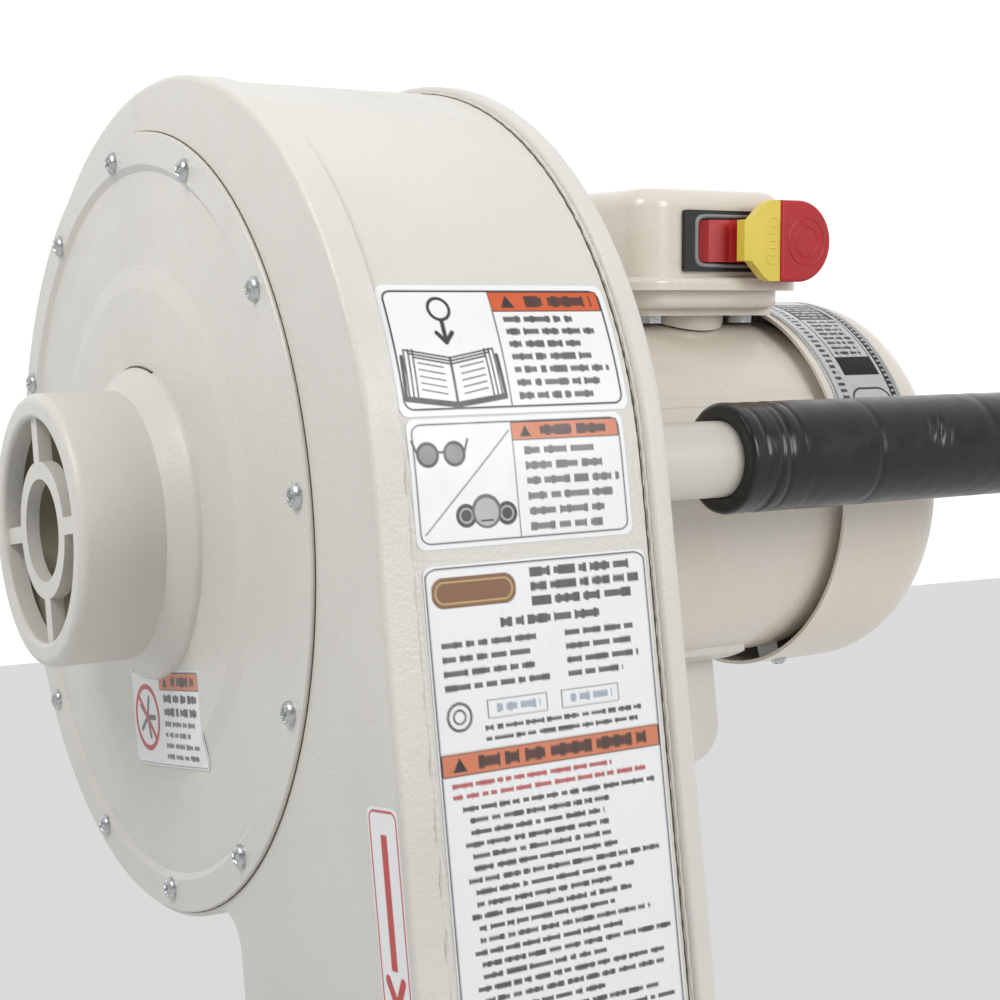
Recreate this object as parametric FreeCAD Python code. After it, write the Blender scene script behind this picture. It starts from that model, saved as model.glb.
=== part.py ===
"""Wall-mounted one-bag dust collector.

The blower and motor share one horizontal shaft.  Everything is drawn about that shaft:
X runs along the shaft from the inlet to the motor, Y towards the wall and Z up, with the
inlet cover plate's outer face at X = 0.  On export each piece is moved so that the origin
is the centre of the four wall holes, on the face that touches the wall.
"""
import FreeCAD, Part
import os
from math import atan2, cos, pi, radians, sin, sqrt

V = FreeCAD.Vector
X_AXIS = V(1, 0, 0)
Y_AXIS = V(0, 1, 0)
Z_AXIS = V(0, 0, 1)
CENTRE = V(0, 0, 0)

# --- where the wall is, seen from the shaft (mm) ---
WALL_Y = 190.0
WALL_X = 142.0
ROW_SHIFT = V(-WALL_X, -WALL_Y, 0)

# --- blower scroll ---
SCROLL_SMALL_R = 145.5
SCROLL_LARGE_R = 184.0
SPIRAL_START = -40.0
SPIRAL_END = 85.0
DUCT_INNER_Y = -58.0
TONGUE_R = 14.0
HOUSING_BOTTOM = -180.0
SHEET = 2.0
PAN_FACE_X = 1.5
PAN_LIP_X = 13.0
PAN_LIP_T = 1.2
BAND_END_X = 106.0
REAR_LIP_X = 100.0
REAR_FACE_X = 108.0
REAR_LIP_T = 3.0
PAN_HOLE_R = 133.3

# --- inlet ---
PLATE_R = 144.7
PLATE_T = 1.5
SCREW_CIRCLE_R = 136.7
SCREW_COUNT = 12
INLET_R = 50.0
INLET_BORE_R = 45.5
INLET_LENGTH = 41.0
INLET_FOOT_R = 58.0
GUARD_RING_R = 22.0

# --- shaft line ---
DISH_R = 96.0
DISH_X = 113.0
SHAFT_R = 8.5
NOSE_R = 8.0
BEARING_OUT_R = 20.0
BEARING_W = 12.0
FRONT_BEARING_X = 118.0
REAR_BEARING_X = 271.0
SHELL_R = 75.0
SHELL_BORE_R = 72.5
SHELL_X0 = 121.0
SHELL_X1 = 286.0
CORE_X0 = 165.0
CORE_X1 = 240.0
STATOR_BORE_R = 38.4
ROTOR_R = 38.0
SLOT_COUNT = 24
SLOT_R = 4.5
SLOT_CIRCLE_R = 49.0
FAN_COVER_R = 82.0
FAN_COVER_X0 = 277.0
FAN_COVER_X1 = 345.0
FAN_COVER_T = 1.5
FAN_SHOULDER_R = 22.0
COVER_EARS = (-60.0, -120.0, 172.0)
COVER_EAR_X = 291.0
NAMEPLATE_SPAN = 72.0
NAMEPLATE_TURN = 10.0

# --- impeller ---
IMPELLER_R = 127.0
BLADE_COUNT = 10
IMPELLER_BACK_X = 98.0
IMPELLER_FRONT_X = 26.0

# --- switch box: drawn upright, then leaned about the shaft towards the user ---
BOX_LEAN = 9.2
BOX_X = 238.5
BOX_FRONT_Y = -45.0
BOX_BACK_Y = 35.0
BOX_TOP = 129.0
BOX_FLANGE_Z = 87.2
TRAY_Z = 79.7
BOSS_X = 243.5
BOSS_Y = -10.0
WIRE_HOLE_R = 9.0
PLATE_BOTTOM_Z = 76.7
COVER_SCREW_X = (BOX_X - 42.0, BOX_X + 42.0)
COVER_SCREW_Y = 14.0
CORD_X = 254.0
CORD_Z = 103.0
SWITCH_Z = 107.5
PIVOT_X = 240.0
PIVOT_Y = -38.0
KEY_Y = -52.2
KEY_TIP_X = 258.0

# --- handle ---
HANDLE_Y = -130.0
HANDLE_Z = 4.3
TUBE_R = 14.0
GRIP_R = 20.6
GRIP_X0 = 173.0
GRIP_X1 = 374.0
HANDLE_END_X = 381.0

# --- outlet and filter bag ---
OUTLET_X = 54.0
OUTLET_Y = -121.0
COLLAR_R = 63.5
COLLAR_BOTTOM = -240.0
BAG_R = 171.5
BAG_BOTTOM = -842.0
BAG_WALL = 3.0
BAG_NECK_TOP = -190.0
BAND_TOP = -203.0
BAND_H = 16.0

# --- wall hanger ---
WALL_PLATE_W = 240.0
WALL_PLATE_H = 140.0
WALL_PLATE_T = 4.0
WALL_HOLE_DX = 210.0
WALL_HOLE_DZ = 100.0
WALL_HOLE_R = 4.5
HANGER_BOLT_DX = 150.0
HANGER_BOLT_DZ = 44.0


def save(name, shape):
    """Moves a finished piece into the wall frame and writes it."""
    placed = shape.copy()
    placed.translate(ROW_SHIFT)
    solids = len(placed.Solids)
    print("%-22s solids %2d  valid %s  volume %9.0f" % (name, solids, placed.isValid(), placed.Volume))
    placed.exportStep("parts/%s.step" % name)


def rod_x(x0, x1, r, y=0.0, z=0.0):
    return Part.makeCylinder(r, x1 - x0, V(x0, y, z), X_AXIS)


def rod_y(y0, y1, r, x, z):
    return Part.makeCylinder(r, y1 - y0, V(x, y0, z), Y_AXIS)


def rod_z(z0, z1, r, x, y):
    return Part.makeCylinder(r, z1 - z0, V(x, y, z0), Z_AXIS)


def ring_x(x0, x1, r_out, r_in):
    return rod_x(x0, x1, r_out).cut(rod_x(x0 - 1, x1 + 1, r_in))


def box(x0, x1, y0, y1, z0, z1):
    return Part.makeBox(x1 - x0, y1 - y0, z1 - z0, V(x0, y0, z0))


def turn_x(profile):
    """Revolves a closed (x, radius) outline about the shaft."""
    points = [V(x, 0, r) for x, r in profile]
    face = Part.Face(Part.makePolygon(points + points[:1]))
    return face.revolve(CENTRE, X_AXIS, 360)


def turn_z(profile, x, y):
    """Revolves a closed (radius, z) outline about an upright line through x, y."""
    points = [V(x + r, y, z) for r, z in profile]
    face = Part.Face(Part.makePolygon(points + points[:1]))
    return face.revolve(V(x, y, 0), Z_AXIS, 360)


def around_x(shape, angle):
    """Copy turned about the shaft: positive angles go from the top towards the user."""
    copy = shape.copy()
    copy.rotate(CENTRE, X_AXIS, angle)
    return copy


def on_circle(angle, r):
    """(y, z) at a radius and an angle from the top, positive towards the user."""
    return -r * sin(radians(angle)), r * cos(radians(angle))


def hexagon_prism(centre, axis, across, height):
    """Hexagonal bar from a centre along X, Y or Z."""
    side_r = across / sqrt(3)
    first = Z_AXIS if axis != Z_AXIS and axis != -Z_AXIS else X_AXIS
    second = axis.cross(first)
    corners = [centre + first * (side_r * cos(k * pi / 3)) + second * (side_r * sin(k * pi / 3))
               for k in range(6)]
    return Part.Face(Part.makePolygon(corners + corners[:1])).extrude(axis * height)


def pan_head_screw(centre, axis, shank_r, length, head_r, head_h):
    """Cross-recessed screw: the head stands on its seat along the axis, the shank goes back."""
    dome = Part.makeSphere((head_r ** 2 + head_h ** 2) / (2 * head_h),
                           centre - axis * ((head_r ** 2 - head_h ** 2) / (2 * head_h)))
    head = Part.makeCylinder(head_r, head_h, centre, axis).common(dome)
    shank = Part.makeCylinder(shank_r, length, centre - axis * length, axis)
    first = Z_AXIS if abs(axis.z) < 0.9 else X_AXIS
    slots = []
    for direction in (first, axis.cross(first)):
        side = axis.cross(direction)
        corner = centre + axis * (head_h * 0.4) - direction * (head_r * 0.6) - side * (head_r * 0.15)
        along = direction * (head_r * 1.2)
        wide = side * (head_r * 0.3)
        across = [corner, corner + along, corner + along + wide, corner + wide]
        slots.append(Part.Face(Part.makePolygon(across + across[:1])).extrude(axis * head_h))
    return head.cut(slots[0].fuse(slots[1])).fuse(shank).removeSplitter()


def hex_bolt(centre, axis, shank_r, length, across, head_h):
    """Hexagon-head bolt: the head stands on its seat along the axis, the shank goes back."""
    head = hexagon_prism(centre, axis, across, head_h)
    shank = Part.makeCylinder(shank_r, length, centre - axis * length, axis)
    return head.fuse(shank).removeSplitter()


def fillet_some(shape, radius, wanted):
    """Rounds the edges that a test picks."""
    edges = [edge for edge in shape.Edges if wanted(edge)]
    return shape.makeFillet(radius, edges)


def edges_at_x(x):
    """Edge test: curved or upright-side edges that lie in the plane X = x, not the bottom cut."""
    def wanted(edge):
        ends = [vertex.Point for vertex in edge.Vertexes]
        middle = edge.valueAt((edge.FirstParameter + edge.LastParameter) / 2)
        flat = all(abs(point.x - x) < 1e-3 for point in ends + [middle])
        low = all(point.z < HOUSING_BOTTOM + 1e-3 for point in ends)
        return flat and not low
    return wanted


# ------------------------------------------------------------------ housing


def scroll_radius(angle):
    """Spiral of the scroll: a smooth half-wave of growth from the small to the large radius."""
    t = (angle - SPIRAL_START) / (SPIRAL_END - SPIRAL_START)
    return SCROLL_SMALL_R + (SCROLL_LARGE_R - SCROLL_SMALL_R) * (1 - cos(pi * t)) / 2


def scroll_face(inset, x):
    """Side view of the scroll and its outlet duct, shrunk all round by inset, at X = x."""
    def point(angle, r):
        y, z = on_circle(angle, r)
        return V(x, y, z)

    small = SCROLL_SMALL_R - inset
    large = SCROLL_LARGE_R - inset
    front_bottom = V(x, -large, HOUSING_BOTTOM)
    front_side = point(90, large)
    spiral_top = point(SPIRAL_END, large)
    spiral_back = point(SPIRAL_START, small)
    angles = [SPIRAL_END - k * (SPIRAL_END - SPIRAL_START) / 12 for k in range(13)]
    spiral = Part.BSplineCurve()
    first, last = radians(SPIRAL_END), radians(SPIRAL_START)
    spiral.interpolate(Points=[point(a, scroll_radius(a) - inset) for a in angles],
                       InitialTangent=V(0, cos(first), sin(first)),
                       FinalTangent=V(0, cos(last), sin(last)))
    tongue_y = DUCT_INNER_Y + TONGUE_R
    tongue_z = -sqrt((SCROLL_SMALL_R + TONGUE_R) ** 2 - tongue_y ** 2)
    touch = V(x, tongue_y, tongue_z) * (small / (SCROLL_SMALL_R + TONGUE_R))
    touch.x = x
    wall_y = DUCT_INNER_Y - inset
    fillet_r = TONGUE_R + inset
    lean = atan2(-tongue_z, -tongue_y)
    half = (pi - lean) / 2
    tongue_mid = V(x, tongue_y - fillet_r * cos(half), tongue_z + fillet_r * sin(half))
    wall_start = V(x, wall_y, tongue_z)
    wall_bottom = V(x, wall_y, HOUSING_BOTTOM)
    edges = [Part.makeLine(front_bottom, front_side),
             Part.Arc(front_side, point(87.5, large), spiral_top).toShape(),
             spiral.toShape(),
             Part.Arc(spiral_back, point(-110, small), touch).toShape(),
             Part.Arc(touch, tongue_mid, wall_start).toShape(),
             Part.makeLine(wall_start, wall_bottom),
             Part.makeLine(wall_bottom, front_bottom)]
    return Part.Face(Part.Wire(edges))


def scroll_block(inset, x0, x1):
    return scroll_face(inset, x0).extrude(V(x1 - x0, 0, 0))


def cover_screw_places():
    return [on_circle(k * 360.0 / SCREW_COUNT, SCREW_CIRCLE_R) for k in range(SCREW_COUNT)]


def make_front_pan():
    """Pressed front of the scroll: a flat face with the inlet hole and a lip over the band."""
    pan = scroll_block(-PAN_LIP_T, PAN_FACE_X, PAN_LIP_X)
    pan = fillet_some(pan, 1.9, edges_at_x(PAN_FACE_X))
    pan = pan.cut(scroll_block(0, PAN_FACE_X + SHEET, PAN_LIP_X + 1))
    pan = pan.cut(rod_x(0, PAN_FACE_X + SHEET + 1, PAN_HOLE_R))
    for y, z in cover_screw_places():
        pan = pan.cut(rod_x(0, 10, 1.9, y, z))
    return pan


def make_scroll_band():
    """Rolled strip between the two sides, with the lapped joint near the top."""
    x0 = PAN_FACE_X + SHEET
    band = scroll_block(0, x0, BAND_END_X).cut(scroll_block(SHEET, x0 - 1, BAND_END_X + 1))
    return band.cut(box(x0 - 1, BAND_END_X + 1, -SCROLL_LARGE_R + SHEET, DUCT_INNER_Y - SHEET,
                        HOUSING_BOTTOM - 1, HOUSING_BOTTOM + 1))


def motor_bolt_places():
    return [on_circle(45 + 90 * k, 55.0) for k in range(4)]


def handle_screw_places():
    return [(HANDLE_Y + 22 * cos(radians(a)), HANDLE_Z + 22 * sin(radians(a))) for a in (90, 210, 330)]


def make_rear_plate():
    """Rear side of the scroll: thick rolled lip, and a shallow dish pressed out for the motor."""
    plate = scroll_block(-REAR_LIP_T, REAR_LIP_X, REAR_FACE_X)
    plate = fillet_some(plate, 1.6, edges_at_x(REAR_LIP_X))
    plate = fillet_some(plate, 2.4, edges_at_x(REAR_FACE_X))
    plate = plate.cut(scroll_block(0, REAR_LIP_X - 1, BAND_END_X))
    plate = plate.cut(rod_x(REAR_LIP_X, REAR_FACE_X + 1, DISH_R))
    dish = turn_x([(BAND_END_X, DISH_R), (REAR_FACE_X, DISH_R), (DISH_X, DISH_R - 6), (DISH_X, 12),
                   (DISH_X - SHEET, 12), (DISH_X - SHEET, DISH_R - 7.6), (BAND_END_X, DISH_R - 1.6)])
    plate = plate.fuse(dish)
    for y, z in motor_bolt_places():
        plate = plate.cut(rod_x(100, 120, 3.2, y, z))
    for y, z in handle_screw_places():
        plate = plate.cut(rod_x(100, 120, 2.6, y, z))
    return plate.removeSplitter()


def outlet_screw_places():
    return [(x, y) for x in (9.5, 98.5) for y in (-177.0, -65.0)]


def make_outlet_plate():
    """Plate that closes the bottom of the scroll round the outlet collar."""
    plate = box(PAN_FACE_X, REAR_FACE_X, -SCROLL_LARGE_R - SHEET, DUCT_INNER_Y + SHEET,
                HOUSING_BOTTOM - 2.5, HOUSING_BOTTOM)
    plate = fillet_some(plate, 4, lambda e: abs(e.tangentAt(e.FirstParameter).z) > 0.99)
    for x, y in outlet_screw_places():
        plate = plate.cut(rod_z(HOUSING_BOTTOM - 5, HOUSING_BOTTOM + 5, 2.0, x, y))
    return plate.cut(rod_z(HOUSING_BOTTOM - 5, HOUSING_BOTTOM + 5, 47.0, OUTLET_X, OUTLET_Y))


def make_outlet_collar():
    """Round spigot for the bag, flanged under the outlet plate, with a bead at its lower end."""
    top = HOUSING_BOTTOM - 2.5
    bore = COLLAR_R - 1.5
    profile = [(47, top), (COLLAR_R + 3, top), (COLLAR_R + 3, top - 2), (COLLAR_R, top - 4),
               (COLLAR_R, COLLAR_BOTTOM + 8), (COLLAR_R + 1.6, COLLAR_BOTTOM + 5),
               (COLLAR_R + 1.6, COLLAR_BOTTOM + 3), (COLLAR_R, COLLAR_BOTTOM),
               (bore, COLLAR_BOTTOM), (bore, top - 10), (47, top - 2)]
    return turn_z(profile, OUTLET_X, OUTLET_Y)


def make_outlet_screws():
    """Four screws through the flange corners of the outlet plate."""
    seat = HOUSING_BOTTOM - 2.5
    return Part.makeCompound([pan_head_screw(V(x, y, seat), -Z_AXIS, 2.0, 2.4, 4.0, 2.2)
                              for x, y in outlet_screw_places()])


# ------------------------------------------------------------------ inlet


def make_cover_plate():
    """Pressed round cover: flat screwed rim, sunk ring and raised middle."""
    sunk = 1.7
    back = PLATE_T
    plate = turn_x([(0, INLET_BORE_R), (0, 88), (sunk, 96.5), (sunk, 130.5), (0, 133.0), (0, PLATE_R - 0.5),
                    (0.5, PLATE_R), (back, PLATE_R), (back, 133.2), (back + sunk, 130.7),
                    (back + sunk, 96.2), (back, 87.7), (back, INLET_BORE_R)])
    for y, z in cover_screw_places():
        plate = plate.cut(rod_x(-1, 5, 1.9, y, z))
    return plate


def make_cover_screws():
    return Part.makeCompound([pan_head_screw(V(0, y, z), -X_AXIS, 1.8, 9, 4.2, 2.6)
                              for y, z in cover_screw_places()])


def make_inlet_spigot():
    """Cast inlet: round lip at the mouth, rolled foot on the plate, ring-and-spoke finger guard."""
    mouth = -INLET_LENGTH
    body = ring_x(mouth, 0, INLET_R, INLET_BORE_R)
    foot = turn_x([(0, INLET_BORE_R), (0, INLET_FOOT_R), (-1.2, INLET_FOOT_R), (-3.2, INLET_FOOT_R - 1.2),
                   (-4.6, INLET_R + 4.2), (-6.6, INLET_R + 1.6), (-9.5, INLET_R), (-9.5, INLET_BORE_R)])
    lip = ring_x(mouth, mouth + 8, INLET_R, 41.0)
    body = body.fuse(foot).fuse(lip)
    guard_x0 = mouth + 2.6
    guard_x1 = mouth + 7.6
    ring = ring_x(guard_x0, guard_x1, GUARD_RING_R + 3.2, GUARD_RING_R - 3.2)
    spoke = box(guard_x0, guard_x1, -3.1, 3.1, GUARD_RING_R + 1, 43.0)
    guard = ring
    for quarter in range(4):
        guard = guard.fuse(around_x(spoke, 90 * quarter))
    body = body.fuse(guard).removeSplitter()
    body = fillet_some(body, 3.4, lambda e: abs(e.CenterOfMass.x - mouth) < 0.2 and e.Length > 300)
    return fillet_some(body, 2.0, lambda e: abs(e.CenterOfMass.x - mouth) < 0.2 and e.Length < 260)


# ------------------------------------------------------------------ impeller and shaft


def make_impeller():
    """Welded radial wheel: back plate, swept-back blades tapering to the rim, hub seat."""
    plate = ring_x(IMPELLER_BACK_X - 2.5, IMPELLER_BACK_X, IMPELLER_R, 15.2)
    outline = [V(IMPELLER_BACK_X - 2, 0, 32), V(IMPELLER_FRONT_X + 6, 0, 40), V(IMPELLER_FRONT_X, 0, 62),
               V(IMPELLER_FRONT_X + 22, 0, IMPELLER_R - 1), V(IMPELLER_BACK_X - 2, 0, IMPELLER_R - 1)]
    blade = Part.Face(Part.makePolygon(outline + outline[:1])).extrude(V(0, 2.0, 0))
    blade.rotate(V(0, 0, 32), X_AXIS, -14)
    wheel = plate
    for k in range(BLADE_COUNT):
        wheel = wheel.fuse(around_x(blade, k * 360.0 / BLADE_COUNT))
    return wheel.removeSplitter()


def make_impeller_hub():
    """Turned steel hub: flange behind the wheel's blades, bored and keyed for the shaft."""
    hub = turn_x([(66, NOSE_R), (66, 14), (69, 15), (IMPELLER_BACK_X, 15), (IMPELLER_BACK_X, 30),
                  (IMPELLER_BACK_X + 5, 30), (IMPELLER_BACK_X + 5, NOSE_R)])
    return hub.cut(box(68, 96, -2.5, 2.5, NOSE_R - 2, NOSE_R + 2.3))


def make_shaft_key():
    return box(70, 95, -2.45, 2.45, NOSE_R - 2.5, NOSE_R + 2.2)


def make_impeller_bolt():
    """Hexagon bolt that holds the hub on the shaft's nose."""
    return hex_bolt(V(62.5, 0, 0), -X_AXIS, 4.0, 22, 13, 5.3)


def make_impeller_washer():
    return ring_x(62.5, 66, 13, 4.2)


def make_motor_shaft():
    """Stepped shaft from the impeller nose to the cooling fan, with its keyway."""
    nose = rod_x(67, 105, NOSE_R)
    body = rod_x(105, 292, SHAFT_R)
    middle = rod_x(134, 268, 12.0)
    tail = rod_x(292, 322, 7.0)
    shaft = nose.fuse(body).fuse(middle).fuse(tail)
    shaft = shaft.cut(rod_x(60, 86, 4.0))
    return shaft.cut(box(69.5, 95.5, -2.45, 2.45, NOSE_R - 2.5, NOSE_R + 3)).removeSplitter()


def make_bearing_outer(x0):
    return turn_x([(x0, 16.9), (x0, BEARING_OUT_R), (x0 + BEARING_W, BEARING_OUT_R), (x0 + BEARING_W, 16.9),
                   (x0 + BEARING_W - 3, 16.9), (x0 + BEARING_W / 2, 17.5), (x0 + 3, 16.9)])


def make_bearing_inner(x0):
    return turn_x([(x0, SHAFT_R), (x0, 11.6), (x0 + 3, 11.6), (x0 + BEARING_W / 2, 11.2),
                   (x0 + BEARING_W - 3, 11.6), (x0 + BEARING_W, 11.6), (x0 + BEARING_W, SHAFT_R)])


def make_bearing_balls(x0):
    """Eight balls strung on the cage ring that keeps them apart."""
    middle = x0 + BEARING_W / 2
    cage = ring_x(middle - 0.8, middle + 0.8, 14.9, 13.4)
    for k in range(8):
        y, z = on_circle(45 * k, 14.2)
        cage = cage.fuse(Part.makeSphere(2.8, V(middle, y, z)))
    return cage


# ------------------------------------------------------------------ motor


def make_front_bell():
    """Cast end bell bolted to the housing: flange, spigot into the shell, bearing seat."""
    x1 = FRONT_BEARING_X + BEARING_W
    bell = turn_x([(DISH_X, 13), (DISH_X, 78), (SHELL_X0, 78), (SHELL_X0, SHELL_BORE_R), (134, SHELL_BORE_R),
                   (134, 67), (SHELL_X0 + 2, 66), (SHELL_X0 + 1, 26), (x1, 25), (x1, BEARING_OUT_R),
                   (FRONT_BEARING_X, BEARING_OUT_R), (FRONT_BEARING_X, 13)])
    for y, z in motor_bolt_places():
        bell = bell.fuse(rod_x(DISH_X + 1, 133, 7.0, y, z)).cut(rod_x(DISH_X - 1, 131, 3.0, y, z))
    return bell.removeSplitter()


def make_motor_bolts():
    return Part.makeCompound([hex_bolt(V(DISH_X - SHEET, y, z), -X_AXIS, 3.0, 18, 10, 4.0)
                              for y, z in motor_bolt_places()])


def make_motor_shell():
    """Rolled motor shell with the hole for the wires."""
    shell = ring_x(SHELL_X0, SHELL_X1, SHELL_R, SHELL_BORE_R)
    return shell.cut(lean(rod_z(60, 90, WIRE_HOLE_R, BOSS_X, BOSS_Y)))


def make_stator_core():
    """Laminated ring with round slots, pressed into the shell."""
    core = ring_x(CORE_X0, CORE_X1, SHELL_BORE_R, STATOR_BORE_R)
    for k in range(SLOT_COUNT):
        y, z = on_circle(k * 360.0 / SLOT_COUNT, SLOT_CIRCLE_R)
        core = core.cut(rod_x(CORE_X0 - 1, CORE_X1 + 1, SLOT_R, y, z))
        mouth = box(CORE_X0 - 1, CORE_X1 + 1, -1.2, 1.2, STATOR_BORE_R - 1, SLOT_CIRCLE_R - 3)
        core = core.cut(around_x(mouth, k * 360.0 / SLOT_COUNT))
    return core


def make_stator_windings():
    """Slot bundles joined by a laced end-turn ring at each end of the core."""
    windings = None
    for x0 in (CORE_X0 - 20, CORE_X1 + 2):
        end_turn = turn_x([(x0, 48), (x0, 60), (x0 + 4, 64), (x0 + 14, 64), (x0 + 18, 60), (x0 + 18, 48),
                           (x0 + 14, 44.5), (x0 + 4, 44.5)])
        windings = end_turn if windings is None else windings.fuse(end_turn)
    for k in range(SLOT_COUNT):
        y, z = on_circle(k * 360.0 / SLOT_COUNT, SLOT_CIRCLE_R)
        windings = windings.fuse(rod_x(CORE_X0 - 4, CORE_X1 + 4, SLOT_R - 0.3, y, z))
    return windings


def make_rotor_core():
    """Rotor iron with cast end rings and short fan fins."""
    core = ring_x(CORE_X0 - 2, CORE_X1 + 2, ROTOR_R, 12.0)
    for x0, x1 in ((CORE_X0 - 10, CORE_X0 - 2), (CORE_X1 + 2, CORE_X1 + 10)):
        core = core.fuse(ring_x(x0, x1, 35.0, 24.0))
    for k in range(12):
        fin = box(CORE_X0 - 18, CORE_X0 - 10, -1.2, 1.2, 26, 34)
        core = core.fuse(around_x(fin, 30 * k))
    return core.removeSplitter()


def make_centrifugal_weight():
    """Sliding collar and weights that open the starting switch as the shaft gets up to speed."""
    collar = turn_x([(252, 12), (252, 22), (255, 26), (259, 26), (259, 12)])
    for side in (0, 180):
        collar = collar.fuse(around_x(box(253, 258, -7, 7, 22, 31), side))
    return collar.removeSplitter()


def make_start_switch():
    """Insulating board with the starting contacts, on the rear bell."""
    board = ring_x(261, 263, 50, 30).common(box(260, 264, -60, 60, -12, 60))
    for side in (-1, 1):
        board = board.fuse(box(263, 266, side * 38 - 4, side * 38 + 4, 2, 14))
    return board.removeSplitter()


def make_rear_bell():
    """Cast rear bell: spigot into the shell, bearing seat, three ears for the fan cover."""
    x0 = REAR_BEARING_X
    bell = turn_x([(266, SHELL_BORE_R), (SHELL_X1, SHELL_BORE_R), (SHELL_X1, SHELL_R), (290, SHELL_R),
                   (290, 13), (x0 + BEARING_W, 13), (x0 + BEARING_W, BEARING_OUT_R),
                   (x0, BEARING_OUT_R), (x0, 25), (282, 26), (282, 66), (266, 67)])
    for angle in COVER_EARS:
        ear = box(SHELL_X1, 296, -7, 7, 60, FAN_COVER_R - FAN_COVER_T).cut(rod_x(280, 300, 62))
        ear = ear.common(rod_x(280, 300, FAN_COVER_R - FAN_COVER_T))
        ear = ear.cut(rod_z(70, 90, 2.0, COVER_EAR_X, 0))
        bell = bell.fuse(around_x(ear, angle))
    for k in range(8):
        bell = bell.cut(rod_x(270, 300, 6.0, *on_circle(22.5 + 45 * k, 46.0)))
    return bell.removeSplitter()


def make_cooling_fan():
    """Moulded fan: hub, disc and eight straight blades."""
    fan = turn_x([(298, 7.0), (298, 16), (300, 18), (316, 18), (316, 7.0)])
    fan = fan.fuse(ring_x(299, 301.5, 62, 17))
    for k in range(8):
        fan = fan.fuse(around_x(box(301, 320, -1.2, 1.2, 17, 66), 45 * k))
    return fan.removeSplitter()


def shoulder_points(r):
    """Three points (start, middle, end) on the round shoulder of the fan cover."""
    x = FAN_COVER_X1 - 4 - FAN_SHOULDER_R
    level = FAN_COVER_R - FAN_SHOULDER_R
    return [V(x + r * sin(radians(a)), 0, level + r * cos(radians(a))) for a in (0, 45, 90)]


def make_fan_cover():
    """Drawn cover, open at the front, round-shouldered, with rings of air holes at the back."""
    front, back = FAN_COVER_X0, FAN_COVER_X1
    crown_r = 36
    outer = shoulder_points(FAN_SHOULDER_R)
    inner = shoulder_points(FAN_SHOULDER_R - FAN_COVER_T)
    rim_out, rim_in = V(front, 0, FAN_COVER_R), V(front, 0, FAN_COVER_R - FAN_COVER_T)
    cap = [outer[2], V(back, 0, crown_r), V(back, 0, 0), V(back - FAN_COVER_T, 0, 0),
           V(back - FAN_COVER_T, 0, crown_r), inner[2]]
    edges = [Part.makeLine(rim_out, outer[0]), Part.Arc(*outer).toShape()]
    edges += [Part.makeLine(start, end) for start, end in zip(cap, cap[1:])]
    edges += [Part.Arc(*inner[::-1]).toShape()]
    edges += [Part.makeLine(inner[0], rim_in), Part.makeLine(rim_in, rim_out)]
    cover = Part.Face(Part.Wire(edges)).revolve(CENTRE, X_AXIS, 360)
    for r, count in ((12, 6), (22, 12), (32, 18), (42, 24), (52, 30)):
        for k in range(count):
            cover = cover.cut(rod_x(back - 12, back + 1, 2.2, *on_circle(k * 360.0 / count, r)))
    for angle in COVER_EARS:
        cover = cover.cut(around_x(rod_z(70, 90, 2.1, COVER_EAR_X, 0), angle))
    return cover


def make_fan_cover_screws():
    screw = pan_head_screw(V(COVER_EAR_X, 0, FAN_COVER_R), Z_AXIS, 2.0, 6, 3.8, 2.3)
    return Part.makeCompound([around_x(screw, angle) for angle in COVER_EARS])


def make_nameplate():
    """Thin plate rolled round the fan cover."""
    sheet = ring_x(280.5, 318, FAN_COVER_R + 0.5, FAN_COVER_R)
    wedge = Part.makeCylinder(100, 60, V(270, 0, 0), X_AXIS, NAMEPLATE_SPAN)
    wedge.rotate(CENTRE, X_AXIS, NAMEPLATE_TURN)
    return sheet.common(wedge)


def make_motor_support():
    """Rolled saddle under the motor and the curved gusset that carries it from the rear plate."""
    saddle = ring_x(196, 262, SHELL_R + 3, SHELL_R).common(box(190, 270, -24, 24, -90, -60))
    top, outer = V(REAR_FACE_X, -3, -70), V(260, -3, -70)
    bend, toe, heel = V(260, -3, -106), V(240, -3, -122), V(REAR_FACE_X, -3, -142)
    edges = [Part.makeLine(top, outer), Part.makeLine(outer, bend),
             Part.Arc(bend, V(254.5, -3, -117.5), toe).toShape(),
             Part.makeLine(toe, heel), Part.makeLine(heel, top)]
    gusset = Part.Face(Part.Wire(edges)).extrude(V(0, 6, 0))
    gusset = gusset.cut(rod_x(100, 270, SHELL_R)).cut(rod_x(100, DISH_X, DISH_R))
    gusset = gusset.cut(rod_x(100, SHELL_X0, 78.0))
    return saddle.fuse(gusset).removeSplitter()


# ------------------------------------------------------------------ switch box


def lean(shape):
    return around_x(shape, BOX_LEAN)


def round_block(half_x, y0, y1, z0, z1, corner_r):
    """Block about the box's middle with rounded upright corners."""
    block = box(BOX_X - half_x, BOX_X + half_x, y0, y1, z0, z1)
    return fillet_some(block, corner_r, lambda e: abs(e.tangentAt(e.FirstParameter).z) > 0.99)


def edges_at_z(z):
    def wanted(edge):
        middle = edge.valueAt((edge.FirstParameter + edge.LastParameter) / 2)
        return abs(middle.z - z) < 1e-3 and abs(edge.tangentAt(edge.FirstParameter).z) < 0.01
    return wanted


def make_box_boss():
    """Cup that carries the wires from the shell up into the box."""
    cup = turn_z([(WIRE_HOLE_R, 64), (15.5, 64), (17.5, 67), (19.0, 71), (19.7, PLATE_BOTTOM_Z - 1.5),
                  (19.7, PLATE_BOTTOM_Z), (WIRE_HOLE_R, PLATE_BOTTOM_Z)], BOSS_X, BOSS_Y)
    return lean(cup.cut(rod_x(200, 290, SHELL_R + 0.9)))


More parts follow.
